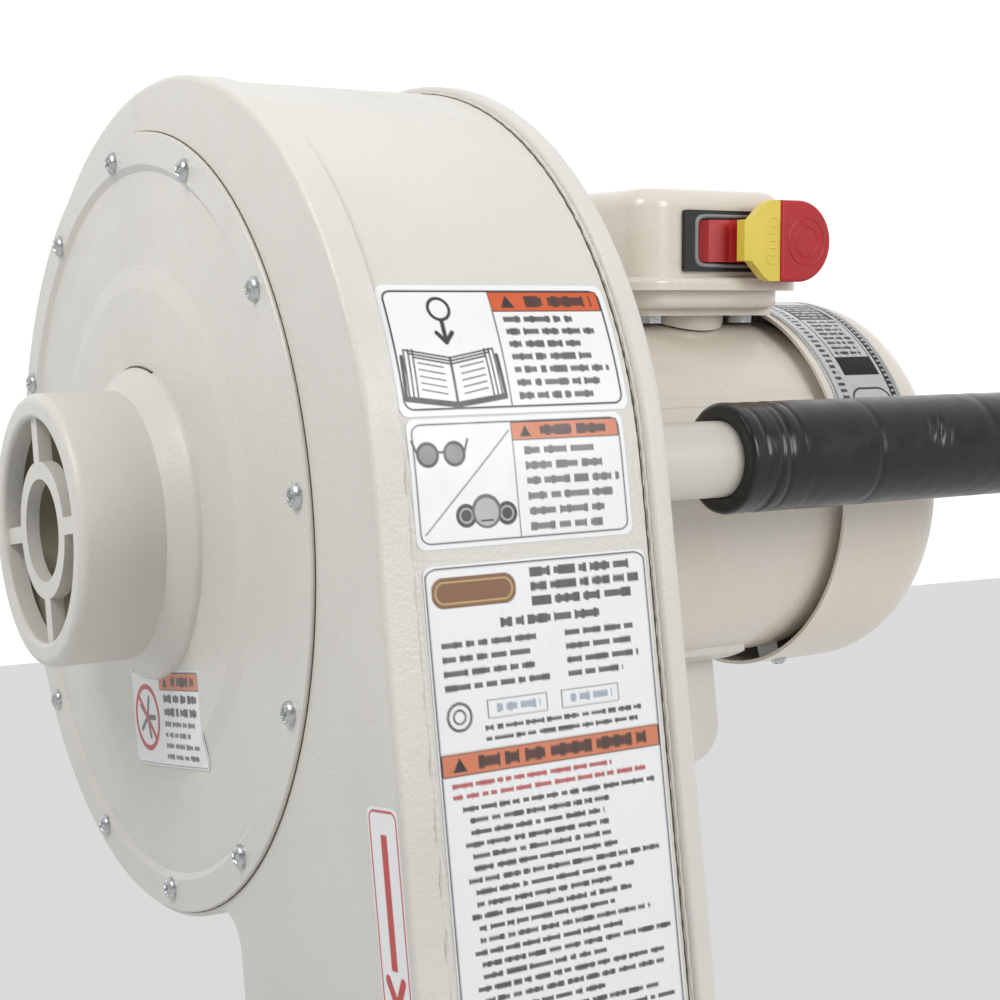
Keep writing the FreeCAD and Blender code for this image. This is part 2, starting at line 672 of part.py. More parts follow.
def make_boss_gasket():
    gasket = rod_z(60, 80, 17.6, BOSS_X, BOSS_Y).cut(rod_z(50, 90, WIRE_HOLE_R, BOSS_X, BOSS_Y))
    return lean(gasket.common(ring_x(200, 290, SHELL_R + 0.9, SHELL_R)))


def box_bolt_places():
    return [(BOSS_X + dx, y) for dx in (-24.5, 24.5) for y in (-22, 22)]


def make_box_plate():
    """Flat plate between the wire cup and the tray, reaching to the fan cover."""
    plate = box(206, FAN_COVER_X0 - 0.5, -36, 32, PLATE_BOTTOM_Z, TRAY_Z)
    plate = fillet_some(plate, 5, lambda e: abs(e.tangentAt(e.FirstParameter).z) > 0.99)
    plate = plate.cut(rod_z(70, 90, WIRE_HOLE_R, BOSS_X, BOSS_Y))
    for x, y in box_bolt_places():
        plate = plate.cut(rod_z(70, 90, 3.0, x, y))
    return lean(plate)


def make_box_plate_bolts():
    return lean(Part.makeCompound([hex_bolt(V(x, y, PLATE_BOTTOM_Z), -Z_AXIS, 3.0, 8, 9.8, 3.2)
                                   for x, y in box_bolt_places()]))


def make_switch_tray():
    """Shallow tray under the cover."""
    tray = round_block(38, BOX_FRONT_Y + 1, BOX_BACK_Y - 1, TRAY_Z, BOX_FLANGE_Z, 12)
    tray = fillet_some(tray, 3.0, edges_at_z(TRAY_Z))
    tray = tray.cut(round_block(36, BOX_FRONT_Y + 3.5, BOX_BACK_Y - 3.5, TRAY_Z + 2.5, BOX_FLANGE_Z + 1, 10))
    tray = tray.cut(rod_z(70, 90, WIRE_HOLE_R, BOSS_X, BOSS_Y))
    for x, y in box_bolt_places():
        tray = tray.cut(rod_z(70, 90, 3.0, x, y))
    return lean(tray)


def make_switch_cover():
    """Deep drawn cover with a rolled flange; the switch looks out of its front."""
    body = round_block(39.5, BOX_FRONT_Y, BOX_BACK_Y, BOX_FLANGE_Z, BOX_TOP, 13)
    flange = round_block(45.5, BOX_FRONT_Y - 5, BOX_BACK_Y + 5, BOX_FLANGE_Z, BOX_FLANGE_Z + 5.4, 16)
    flange = fillet_some(flange, 2.6, edges_at_z(BOX_FLANGE_Z + 5.4))
    cover = fillet_some(body, 8.0, edges_at_z(BOX_TOP)).fuse(flange)
    inside = round_block(37.5, BOX_FRONT_Y + 2, BOX_BACK_Y - 2, BOX_FLANGE_Z - 1, BOX_TOP - 2, 11)
    cover = cover.cut(fillet_some(inside, 6.0, edges_at_z(BOX_TOP - 2)))
    cover = cover.cut(box(221.5, 260.5, BOX_FRONT_Y - 1, BOX_FRONT_Y + 6, SWITCH_Z - 11, SWITCH_Z + 11))
    cover = cover.cut(rod_y(BOX_BACK_Y - 6, BOX_BACK_Y + 1, 6.2, CORD_X, CORD_Z))
    for x in COVER_SCREW_X:
        cover = cover.cut(rod_z(80, BOX_FLANGE_Z + 3.5, 1.6, x, COVER_SCREW_Y))
    return lean(cover.removeSplitter())


def make_switch_cover_screws():
    screws = [pan_head_screw(V(x, COVER_SCREW_Y, BOX_FLANGE_Z), -Z_AXIS, 1.5, 3.2, 3.0, 1.8)
              for x in COVER_SCREW_X]
    return lean(Part.makeCompound(screws))


def make_switch_body():
    """Snap-in switch body: bezel in front of the cover, case behind it, well for the rocker."""
    bezel = box(218.8, 263.2, BOX_FRONT_Y - 2.4, BOX_FRONT_Y, SWITCH_Z - 12.6, SWITCH_Z + 12.6)
    bezel = fillet_some(bezel, 1.0, lambda e: abs(e.tangentAt(e.FirstParameter).y) > 0.99)
    case = box(222, 260, BOX_FRONT_Y, -14, SWITCH_Z - 10.7, SWITCH_Z + 10.7)
    well = box(225.6, 255.6, BOX_FRONT_Y - 4, -28, SWITCH_Z - 9.1, SWITCH_Z + 9.1)
    case = bezel.fuse(case).cut(well)
    for x in (228, 240, 252):
        case = case.fuse(box(x - 0.4, x + 0.4, -14, -6, SWITCH_Z - 3, SWITCH_Z + 3))
    for side in (-1, 1):
        pin_z = SWITCH_Z + (9.1 if side > 0 else -12.0)
        case = case.cut(rod_z(pin_z, pin_z + 2.9, 1.3, PIVOT_X, PIVOT_Y).common(case))
    return lean(case.removeSplitter())


def make_switch_rocker():
    """Rocker on two stub pins, with the socket that takes the key."""
    points = [V(227.4, -44.8, 0), V(231, -47.2, 0), V(240, -49.4, 0), V(249, -54.0, 0), V(254.4, -54.4, 0),
              V(254.8, -40, 0), V(246, -31.5, 0), V(234, -31.5, 0), V(226.6, -38, 0)]
    low = [V(p.x, p.y, SWITCH_Z - 8.7) for p in points]
    rocker = Part.Face(Part.makePolygon(low + low[:1])).extrude(V(0, 0, 17.4))
    rocker = rocker.fuse(rod_z(SWITCH_Z - 11.0, SWITCH_Z + 11.0, 1.25, PIVOT_X, PIVOT_Y))
    socket = box(245.0, 256, KEY_Y - 0.4, KEY_Y + 2.6, SWITCH_Z - 6.1, SWITCH_Z + 6.1)
    return lean(rocker.cut(socket).removeSplitter())


def make_safety_key():
    """Lift-out key: a flat shank in the rocker's socket that flares to a wide paddle."""
    shank = box(246.0, 256.5, KEY_Y, KEY_Y + 2.2, SWITCH_Z - 5.6, SWITCH_Z + 5.6)
    y0, y1 = BOX_FRONT_Y - 15.6, BOX_FRONT_Y - 10.8
    half, wide = 8.4, 16.7
    edge = [(239.0, -half), (243.0, -half), (250.0, 1.5 - wide), (253.0, -wide), (KEY_TIP_X, -wide)]
    edge += [(x, -z) for x, z in reversed(edge)]
    flare = [V(x, y0, SWITCH_Z + z) for x, z in edge]
    paddle = Part.Face(Part.makePolygon(flare + flare[:1])).extrude(V(0, y1 - y0, 0))
    neck = box(255.4, 257.9, y1 - 0.2, KEY_Y + 2.2, SWITCH_Z - 5.6, SWITCH_Z + 5.6)
    return lean(paddle.fuse(neck).fuse(shank).removeSplitter())


def make_key_cap():
    """Round red cap moulded on the paddle's end."""
    y0, y1 = BOX_FRONT_Y - 16.6, BOX_FRONT_Y - 10.4
    disc = Part.makeCylinder(16.9, y1 - y0, V(268.0, y0, SWITCH_Z), Y_AXIS)
    block = box(KEY_TIP_X, 268.0, y0, y1, SWITCH_Z - 16.9, SWITCH_Z + 16.9)
    cap = block.fuse(disc.common(box(268.0, 290, y0 - 1, y1 + 1, 80, 130))).removeSplitter()
    return lean(fillet_some(cap, 1.2, lambda e: abs(e.CenterOfMass.y - y0) < 1e-3))


def make_capacitor():
    """Running capacitor: can with its two spade terminals, strapped in behind the switch."""
    can = rod_x(206, 246, 13.5, 15.0, 108.0)
    can = can.fuse(box(246, 252, 9, 15, 104, 104.8)).fuse(box(246, 252, 9, 15, 111, 111.8))
    return lean(can)


def make_cord_gland():
    """Strain-relief bush in the back of the cover, with its hexagon nut inside."""
    hexagon = hexagon_prism(V(CORD_X, BOX_BACK_Y, CORD_Z), Y_AXIS, 17, 5)
    nose = Part.makeCone(7.6, 5.2, 12, V(CORD_X, BOX_BACK_Y + 5, CORD_Z), Y_AXIS)
    thread = rod_y(BOX_BACK_Y - 9, BOX_BACK_Y, 6.0, CORD_X, CORD_Z)
    nut = hexagon_prism(V(CORD_X, BOX_BACK_Y - 6, CORD_Z), Y_AXIS, 16, 4)
    gland = hexagon.fuse(nose).fuse(thread).fuse(nut)
    return lean(gland.cut(rod_y(BOX_BACK_Y - 10, BOX_BACK_Y + 20, 3.8, CORD_X, CORD_Z)).removeSplitter())


# ------------------------------------------------------------------ handle


def make_handle_tube():
    """Steel tube welded to its three-hole flange."""
    tube = rod_x(REAR_FACE_X, HANDLE_END_X, TUBE_R, HANDLE_Y, HANDLE_Z)
    tube = tube.fuse(rod_x(REAR_FACE_X, REAR_FACE_X + 3.5, 30.0, HANDLE_Y, HANDLE_Z))
    tube = tube.cut(rod_x(REAR_FACE_X - 1, HANDLE_END_X + 1, TUBE_R - 2, HANDLE_Y, HANDLE_Z))
    for y, z in handle_screw_places():
        tube = tube.cut(rod_x(100, 120, 2.6, y, z))
    return tube.removeSplitter()


def make_handle_screws():
    return Part.makeCompound([hex_bolt(V(REAR_FACE_X + 3.5, y, z), X_AXIS, 2.5, 10, 8, 3.4)
                              for y, z in handle_screw_places()])


def make_handle_grip():
    """Foam sleeve pushed over the tube."""
    grip = rod_x(GRIP_X0, GRIP_X1, GRIP_R, HANDLE_Y, HANDLE_Z)
    grip = grip.cut(rod_x(GRIP_X0 - 1, GRIP_X1 + 1, TUBE_R, HANDLE_Y, HANDLE_Z))
    rims = [e for e in grip.Edges if e.Curve.TypeId == "Part::GeomCircle" and e.Curve.Radius > TUBE_R + 1]
    return grip.makeFillet(1.6, rims)


def make_handle_plug():
    """Push-in end plug."""
    plug = rod_x(GRIP_X1 - 10, HANDLE_END_X, TUBE_R - 2, HANDLE_Y, HANDLE_Z)
    head = rod_x(HANDLE_END_X, HANDLE_END_X + 4, TUBE_R + 0.6, HANDLE_Y, HANDLE_Z)
    head = fillet_some(head, 1.8, lambda e: abs(e.CenterOfMass.x - HANDLE_END_X - 4) < 1e-3)
    return plug.fuse(head).removeSplitter()


# ------------------------------------------------------------------ bag


def make_filter_bag():
    """Cloth bag: neck round the collar, sloping shoulder, straight body and rounded bottom."""
    neck_r = COLLAR_R + 1.9
    outer = [(neck_r + BAG_WALL, BAG_NECK_TOP), (neck_r + BAG_WALL, -232), (100, -250), (150, -292),
             (168, -330), (BAG_R, -370), (BAG_R, -770), (160, -812), (135, -832), (90, BAG_BOTTOM)]
    inner = [(88, BAG_BOTTOM + BAG_WALL), (133, -829), (157, -810), (BAG_R - BAG_WALL, -769),
             (BAG_R - BAG_WALL, -371), (165, -331.5), (147.7, -294.4), (98.6, -252.8), (neck_r, -234),
             (neck_r, BAG_NECK_TOP)]
    profile = outer + [(0, BAG_BOTTOM), (0, BAG_BOTTOM + BAG_WALL)] + inner
    return turn_z(profile, OUTLET_X, OUTLET_Y)


def band_radius():
    return COLLAR_R + 1.9 + BAG_WALL


def make_bag_band():
    """Steel strap round the bag's neck, open at the front between its two latch ears."""
    r = band_radius()
    z0 = BAND_TOP - BAND_H
    ring = rod_z(z0, BAND_TOP, r + 1.2, OUTLET_X, OUTLET_Y)
    ring = ring.cut(rod_z(z0 - 1, BAND_TOP + 1, r, OUTLET_X, OUTLET_Y))
    gap = box(OUTLET_X - 7, OUTLET_X + 7, OUTLET_Y - r - 5, OUTLET_Y, z0 - 1, BAND_TOP + 1)
    ring = ring.cut(gap)
    ear_y = OUTLET_Y - r - 1.2
    left = box(OUTLET_X - 15, OUTLET_X - 8, ear_y - 7, ear_y + 1.6, z0 + 3, BAND_TOP - 3)
    right = box(OUTLET_X + 9.6, OUTLET_X + 13.6, ear_y - 8.4, ear_y + 1.6, z0 + 3, BAND_TOP - 3)
    knuckle_y = ear_y - 8.4
    barrel = rod_z(z0 + 4.5, BAND_TOP - 4.5, 2.9, OUTLET_X + 11.6, knuckle_y)
    right = right.fuse(barrel).cut(rod_z(z0, BAND_TOP, 1.55, OUTLET_X + 11.6, knuckle_y))
    right = right.cut(box(0, 100, knuckle_y - 10, knuckle_y + 5, z0, z0 + 4.5))
    right = right.cut(box(0, 100, knuckle_y - 10, knuckle_y + 5, BAND_TOP - 4.5, BAND_TOP))
    return ring.fuse(left).fuse(right).removeSplitter()


def make_bag_latch():
    """Over-centre lever that pulls the strap closed; it swings on its own upright pin."""
    r = band_radius()
    z0 = BAND_TOP - BAND_H
    pin_y = OUTLET_Y - r - 9.6
    pin = rod_z(z0 + 0.6, BAND_TOP - 0.6, 1.5, OUTLET_X + 11.6, pin_y)
    cheeks = [box(OUTLET_X + 8.6, OUTLET_X + 14.6, pin_y - 4.6, pin_y + 2.6, low, low + 3)
              for low in (z0 + 1, BAND_TOP - 4)]
    lever = box(OUTLET_X - 34, OUTLET_X + 14.6, pin_y - 6.2, pin_y - 4.4, z0 + 1, BAND_TOP - 1)
    lever = fillet_some(lever, 5, lambda e: abs(e.tangentAt(e.FirstParameter).y) > 0.99)
    return pin.fuse(cheeks).fuse(lever).removeSplitter()


# ------------------------------------------------------------------ wall hanger


def wall_hole_places():
    return [(WALL_X + sx * WALL_HOLE_DX / 2, sz * WALL_HOLE_DZ / 2) for sx in (-1, 1) for sz in (-1, 1)]


def hanger_bolt_places():
    return [(WALL_X + sx * HANGER_BOLT_DX / 2, sz * HANGER_BOLT_DZ / 2) for sx in (-1, 1) for sz in (-1, 1)]


def make_wall_plate():
    """Flat plate screwed to the wall."""
    half_w, half_h = WALL_PLATE_W / 2, WALL_PLATE_H / 2
    plate = box(WALL_X - half_w, WALL_X + half_w, WALL_Y - WALL_PLATE_T, WALL_Y, -half_h, half_h)
    plate = fillet_some(plate, 10, lambda e: abs(e.tangentAt(e.FirstParameter).y) > 0.99)
    for x, z in wall_hole_places():
        plate = plate.cut(rod_y(WALL_Y - 10, WALL_Y + 10, WALL_HOLE_R, x, z))
    for x, z in hanger_bolt_places():
        plate = plate.cut(rod_y(WALL_Y - 10, WALL_Y + 10, 3.0, x, z))
    return plate


def make_hanger_bracket():
    """Folded bracket welded to the back of the scroll: back leaf, two shelves and an end web."""
    y1 = WALL_Y - WALL_PLATE_T
    y0 = y1 - 4
    leaf = box(WALL_X - 92, WALL_X + 92, y0, y1, -38, 38)
    bracket = fillet_some(leaf, 8, lambda e: abs(e.tangentAt(e.FirstParameter).y) > 0.99)
    for z in (-34.0, 30.0):
        bracket = bracket.fuse(box(WALL_X - 92, REAR_LIP_X - 1, 120, y0 + 1, z, z + 4))
    bracket = bracket.fuse(box(WALL_X - 92, WALL_X - 88, 120, y0 + 1, -34, 34))
    bracket = bracket.cut(rod_x(0, 110, SCROLL_SMALL_R))
    web = box(REAR_FACE_X, REAR_FACE_X + 4, 112, y0 + 1, -34, 34)
    bracket = bracket.fuse(web).fuse(box(REAR_LIP_X - 2, REAR_FACE_X + 4, y0 - 14, y0 + 1, -34, 34))
    for x, z in hanger_bolt_places():
        bracket = bracket.cut(rod_y(y0 - 5, y1 + 5, 3.0, x, z))
    return bracket.removeSplitter()


def make_hanger_bolts():
    """Bolts from the bracket into the wall plate's tapped holes."""
    seat = WALL_Y - WALL_PLATE_T - 4
    return Part.makeCompound([hex_bolt(V(x, seat, z), -Y_AXIS, 3.0, 7.6, 10, 4.0)
                              for x, z in hanger_bolt_places()])


PIECES = {
    "front_pan": make_front_pan,
    "scroll_band": make_scroll_band,
    "rear_plate": make_rear_plate,
    "outlet_plate": make_outlet_plate,
    "outlet_collar": make_outlet_collar,
    "outlet_screws": make_outlet_screws,
    "inlet_cover_plate": make_cover_plate,
    "cover_plate_screws": make_cover_screws,
    "inlet_spigot": make_inlet_spigot,
    "impeller": make_impeller,
    "impeller_hub": make_impeller_hub,
    "shaft_key": make_shaft_key,
    "impeller_bolt": make_impeller_bolt,
    "impeller_washer": make_impeller_washer,
    "motor_shaft": make_motor_shaft,
    "front_bearing_outer": lambda: make_bearing_outer(FRONT_BEARING_X),
    "front_bearing_inner": lambda: make_bearing_inner(FRONT_BEARING_X),
    "front_bearing_balls": lambda: make_bearing_balls(FRONT_BEARING_X),
    "rear_bearing_outer": lambda: make_bearing_outer(REAR_BEARING_X),
    "rear_bearing_inner": lambda: make_bearing_inner(REAR_BEARING_X),
    "rear_bearing_balls": lambda: make_bearing_balls(REAR_BEARING_X),
    "motor_front_bell": make_front_bell,
    "motor_bolts": make_motor_bolts,
    "motor_shell": make_motor_shell,
    "stator_core": make_stator_core,
    "stator_windings": make_stator_windings,
    "rotor_core": make_rotor_core,
    "centrifugal_weight": make_centrifugal_weight,
    "start_switch": make_start_switch,
    "motor_rear_bell": make_rear_bell,
    "cooling_fan": make_cooling_fan,
    "fan_cover": make_fan_cover,
    "fan_cover_screws": make_fan_cover_screws,
    "nameplate": make_nameplate,
    "motor_support": make_motor_support,
    "box_boss": make_box_boss,
    "boss_gasket": make_boss_gasket,
    "box_plate": make_box_plate,
    "box_plate_bolts": make_box_plate_bolts,
    "switch_tray": make_switch_tray,
    "switch_cover": make_switch_cover,
    "switch_cover_screws": make_switch_cover_screws,
    "switch_body": make_switch_body,
    "switch_rocker": make_switch_rocker,
    "safety_key": make_safety_key,
    "key_cap": make_key_cap,
    "capacitor": make_capacitor,
    "cord_gland": make_cord_gland,
    "handle_tube": make_handle_tube,
    "handle_screws": make_handle_screws,
    "handle_grip": make_handle_grip,
    "handle_plug": make_handle_plug,
    "filter_bag": make_filter_bag,
    "bag_band": make_bag_band,
    "bag_latch": make_bag_latch,
    "wall_plate": make_wall_plate,
    "hanger_bracket": make_hanger_bracket,
    "hanger_bolts": make_hanger_bolts,
}

os.makedirs("parts", exist_ok=True)
for name, make in PIECES.items():
    save(name, make())
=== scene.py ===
"""Looks of the wall-mounted dust collector: paint, print, foam grip and cloth bag round its frame.

Sizes are given in millimetres from the shaft: x runs from the inlet cover plate towards the
motor, y towards the wall and z up.  place() turns them into metres in the frame.
"""
from math import pi

import bmesh
import bpy
import numpy as np
from mathutils import Matrix, Vector


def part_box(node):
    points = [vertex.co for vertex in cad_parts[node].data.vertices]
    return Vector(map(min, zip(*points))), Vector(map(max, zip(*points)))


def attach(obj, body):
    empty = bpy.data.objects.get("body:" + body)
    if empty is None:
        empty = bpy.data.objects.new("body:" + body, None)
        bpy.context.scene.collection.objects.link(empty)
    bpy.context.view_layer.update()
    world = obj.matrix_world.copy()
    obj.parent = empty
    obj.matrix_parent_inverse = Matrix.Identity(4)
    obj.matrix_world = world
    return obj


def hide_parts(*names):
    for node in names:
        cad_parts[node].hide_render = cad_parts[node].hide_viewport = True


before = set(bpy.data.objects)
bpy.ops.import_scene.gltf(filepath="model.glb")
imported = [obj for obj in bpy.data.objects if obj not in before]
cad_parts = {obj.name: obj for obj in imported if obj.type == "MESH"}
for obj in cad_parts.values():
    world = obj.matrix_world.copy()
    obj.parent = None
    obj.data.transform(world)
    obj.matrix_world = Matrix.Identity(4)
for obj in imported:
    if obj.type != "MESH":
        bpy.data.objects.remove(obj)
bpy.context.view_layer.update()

MM = 0.001
plate_low, plate_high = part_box("inlet_cover_plate")
SHAFT = np.array([plate_low[0], (plate_low[1] + plate_high[1]) / 2, (plate_low[2] + plate_high[2]) / 2])

# --- housing (mm) ---
band_low, band_high = [(np.array(corner) - SHAFT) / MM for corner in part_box("scroll_band")]
SMALL_R, LARGE_R = band_high[1], -band_low[1]
SPIRAL_START = -40.0
SPIRAL_END = 85.0
FRONT_WALL_Y = -LARGE_R
HOUSING_BOTTOM = band_low[2]
PAN_FACE_X = 1.5
PAN_LIP_X = 13.0
REAR_LIP_X = 100.0
BEAD_STEP = 0.8
PLATE_R = 144.7
COVER_SCREWS = 12
COVER_SCREW_CIRCLE_R = 136.7
SCREW_HEAD_R, SCREW_HEAD_H = 4.25, 2.6
FOOT_R, FOOT_REACH = 50.0, 8.8
GAP_R = 58.6
LINING_R = 45.3
RATING_PLATE_R = 82.5
RATING_PLATE_X = 281.0
SHELL_R = 75.0

# --- foam grip (mm) ---
grip_low, grip_high = [(np.array(corner) - SHAFT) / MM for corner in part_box("handle_grip")]
GRIP_X0, GRIP_X1 = grip_low[0], grip_high[0]
GRIP_Y = (grip_low[1] + grip_high[1]) / 2
GRIP_Z = (grip_low[2] + grip_high[2]) / 2
GRIP_R = (grip_high[2] - grip_low[2]) / 2
TUBE_R = 14.0

# --- filter bag (mm) ---
bag_low, bag_high = [(np.array(corner) - SHAFT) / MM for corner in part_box("filter_bag")]
BAG_X = (bag_low[0] + bag_high[0]) / 2
BAG_Y = (bag_low[1] + bag_high[1]) / 2
BAG_BOTTOM = bag_low[2]
FLOOR_DROP = 900.0
FLOOR_REACH = 60000.0
COLLAR_BOTTOM = (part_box("outlet_collar")[0][2] - SHAFT[2]) / MM

# --- switch box: drawn upright, then leaned about the shaft towards the user ---
BOX_LEAN = np.radians(9.2)
BOX_FRONT_Y = -45.0
SWITCH_Z = 107.5
SWITCH_X = 240.6
KEY_X = 254.0
KEY_FRONT_Y = BOX_FRONT_Y - 15.6
CAP_X = 268.0

WHITE_FILM = (0.80, 0.81, 0.82)
INK = (0.022, 0.022, 0.024)
GREY_INK = (0.10, 0.10, 0.105)
ORANGE = (0.60, 0.10, 0.022)
PALE_ORANGE = (0.62, 0.20, 0.10)
RED_INK = (0.50, 0.035, 0.035)


def place(x, y, z):
    """Millimetres from the shaft to metres in the frame; x, y and z are arrays of one shape."""
    x, y, z = np.broadcast_arrays(x, y, z)
    return np.stack([x, y, z], axis=-1) * MM + SHAFT


def full_turn(count):
    """Angles of a whole turn in even steps, the last one short of the first."""
    return np.linspace(0, 2 * pi, count, endpoint=False)


def lean(x, y, z):
    """Turns points about the shaft by the lean of the switch box."""
    c, s = np.cos(BOX_LEAN), np.sin(BOX_LEAN)
    return x, y * c - z * s, y * s + z * c


# ---------- meshes


def surface(name, points, body, material, loop_rows=False, loop_columns=False, colours=None):
    """Mesh of one quad between each four neighbouring points of a (rows, columns, 3) array.

    loop_rows joins the last row to the first, loop_columns the last column to the first.
    colours, if given, is a (rows, columns, 3) array of printed colours.
    """
    rows, columns = points.shape[:2]
    index = np.arange(rows * columns).reshape(rows, columns)
    if loop_rows:
        index = np.vstack([index, index[:1]])
    if loop_columns:
        index = np.hstack([index, index[:, :1]])
    quads = np.stack([index[:-1, :-1], index[1:, :-1], index[1:, 1:], index[:-1, 1:]], axis=-1)
    mesh = bpy.data.meshes.new(name)
    mesh.from_pydata(points.reshape(-1, 3), [], quads.reshape(-1, 4))
    if colours is not None:
        layer = mesh.color_attributes.new("print", "FLOAT_COLOR", "POINT")
        rgba = np.ones((rows * columns, 4))
        rgba[:, :3] = colours.reshape(-1, 3)
        layer.data.foreach_set("color", rgba.ravel())
    return dress(bpy.data.objects.new(name, mesh), body, material)


def rework(piece, change):
    """Runs one change on a piece's mesh as a bmesh."""
    work = bmesh.new()
    work.from_mesh(piece.data)
    change(work)
    work.to_mesh(piece.data)
    work.free()


def dress(piece, body, material):
    """Links a new piece, merges points that fall together, and gives it its body and finish."""
    bpy.context.scene.collection.objects.link(piece)
    rework(piece, lambda work: bmesh.ops.remove_doubles(work, verts=work.verts, dist=1e-6))
    piece.data.shade_smooth()
    piece.data.materials.append(material)
    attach(piece, body)
    return piece


def face_outward(piece):
    """Turns the faces of a closed piece outwards."""
    rework(piece, lambda work: bmesh.ops.recalc_face_normals(work, faces=work.faces))
    return piece


def ripple(a, b, seed, waves=6):
    """Smooth unevenness between -1 and 1: a sum of sine waves over a and b, seeded, each weaker."""
    rng = np.random.default_rng(seed)
    total = np.zeros(np.broadcast(a, b).shape)
    for k in range(waves):
        p, q = rng.normal(size=2) * (1 + 0.7 * k)
        total = total + np.sin(p * a + q * b + rng.uniform(0, 2 * pi)) / (1 + 0.5 * k)
    return total / 2.5


def bead(name, path, radius, body, material, seed, unevenness=0.35, sides=10):
    """Weld or caulk bead: a round section carried along a path, swelling and thinning by ripples.

    path is an (n, 3) array in metres.  Each section is a circle in the plane square to the
    path, its radius the given one times one plus the ripple; both ends close to a point.
    """
    count = len(path)
    ahead = np.gradient(path, axis=0)
    ahead /= np.linalg.norm(ahead, axis=1, keepdims=True)
    side = np.cross(ahead, np.array([0.31, 0.12, 0.94]))
    side /= np.linalg.norm(side, axis=1, keepdims=True)
    up = np.cross(side, ahead)
    turn = full_turn(sides)
    along = np.linspace(0, 1, count)[:, None]
    length = np.linalg.norm(np.diff(path, axis=0), axis=1).sum() / MM
    swell = 1 + unevenness * ripple(along * length / 2.2, np.cos(turn) * 1.5, seed, 8)
    taper = np.clip(np.minimum(along, 1 - along) * 40, 0, 1) ** 0.5
    size = radius * MM * swell * taper
    ring = np.cos(turn)[None, :, None] * side[:, None] + np.sin(turn)[None, :, None] * up[:, None]
    points = path[:, None] + ring * size[..., None]
    return face_outward(surface(name, points, body, material, loop_columns=True))


# ---------- scroll outline

OUTLINE_ANGLES = np.linspace(90, -110, 801)


def spiral_radius(angle):
    """Half-wave of growth from the small radius to the large one, steady on both sides of it."""
    t = np.clip((angle - SPIRAL_START) / (SPIRAL_END - SPIRAL_START), 0, 1)
    return SMALL_R + (LARGE_R - SMALL_R) * (1 - np.cos(pi * t)) / 2


OUTLINE_Y = -spiral_radius(OUTLINE_ANGLES) * np.sin(np.radians(OUTLINE_ANGLES))
OUTLINE_Z = spiral_radius(OUTLINE_ANGLES) * np.cos(np.radians(OUTLINE_ANGLES))
OUTLINE_S = np.concatenate([[0], np.cumsum(np.hypot(np.diff(OUTLINE_Y), np.diff(OUTLINE_Z)))])


def height_to_run(z):
    """Distance run along the outline from shaft height up to the height z, on the user's side."""
    front = OUTLINE_ANGLES > 0
    return np.where(np.asarray(z) < 0, z, np.interp(z, OUTLINE_Z[front], OUTLINE_S[front]))


def band_point(run, x, lift):
    """Point on the scroll's outside: run along the outline (down the flat wall if below 0)."""
    y = np.where(run < 0, FRONT_WALL_Y, np.interp(run, OUTLINE_S, OUTLINE_Y))
    z = np.where(run < 0, run, np.interp(run, OUTLINE_S, OUTLINE_Z))
    slope_y = np.interp(run, OUTLINE_S, np.gradient(OUTLINE_Y, OUTLINE_S))
    slope_z = np.interp(run, OUTLINE_S, np.gradient(OUTLINE_Z, OUTLINE_S))
    slope_y = np.where(run < 0, 0.0, slope_y)
    slope_z = np.where(run < 0, 1.0, slope_z)
    return place(x, y - lift * slope_z, z + lift * slope_y)


def cover_depth(radius):
    """How far below the cover plate's rim its sticker lies: 1.5 in the sunk ring, 0 on both sides."""
    return 1.5 * np.clip((radius - 90) / 6.5, 0, 1) * np.clip((133 - radius) / 2.5, 0, 1)


# ---------- finishes


def map_range(nodes, links, value, numbers):
    """Node that maps a value from one range to another; numbers are both ranges' ends."""
    node = nodes.new("ShaderNodeMapRange")
    for socket, number in zip(("From Min", "From Max", "To Min", "To Max"), numbers):
        node.inputs[socket].default_value = number
    links.new(value, node.inputs["Value"])
    return node.outputs["Result"]


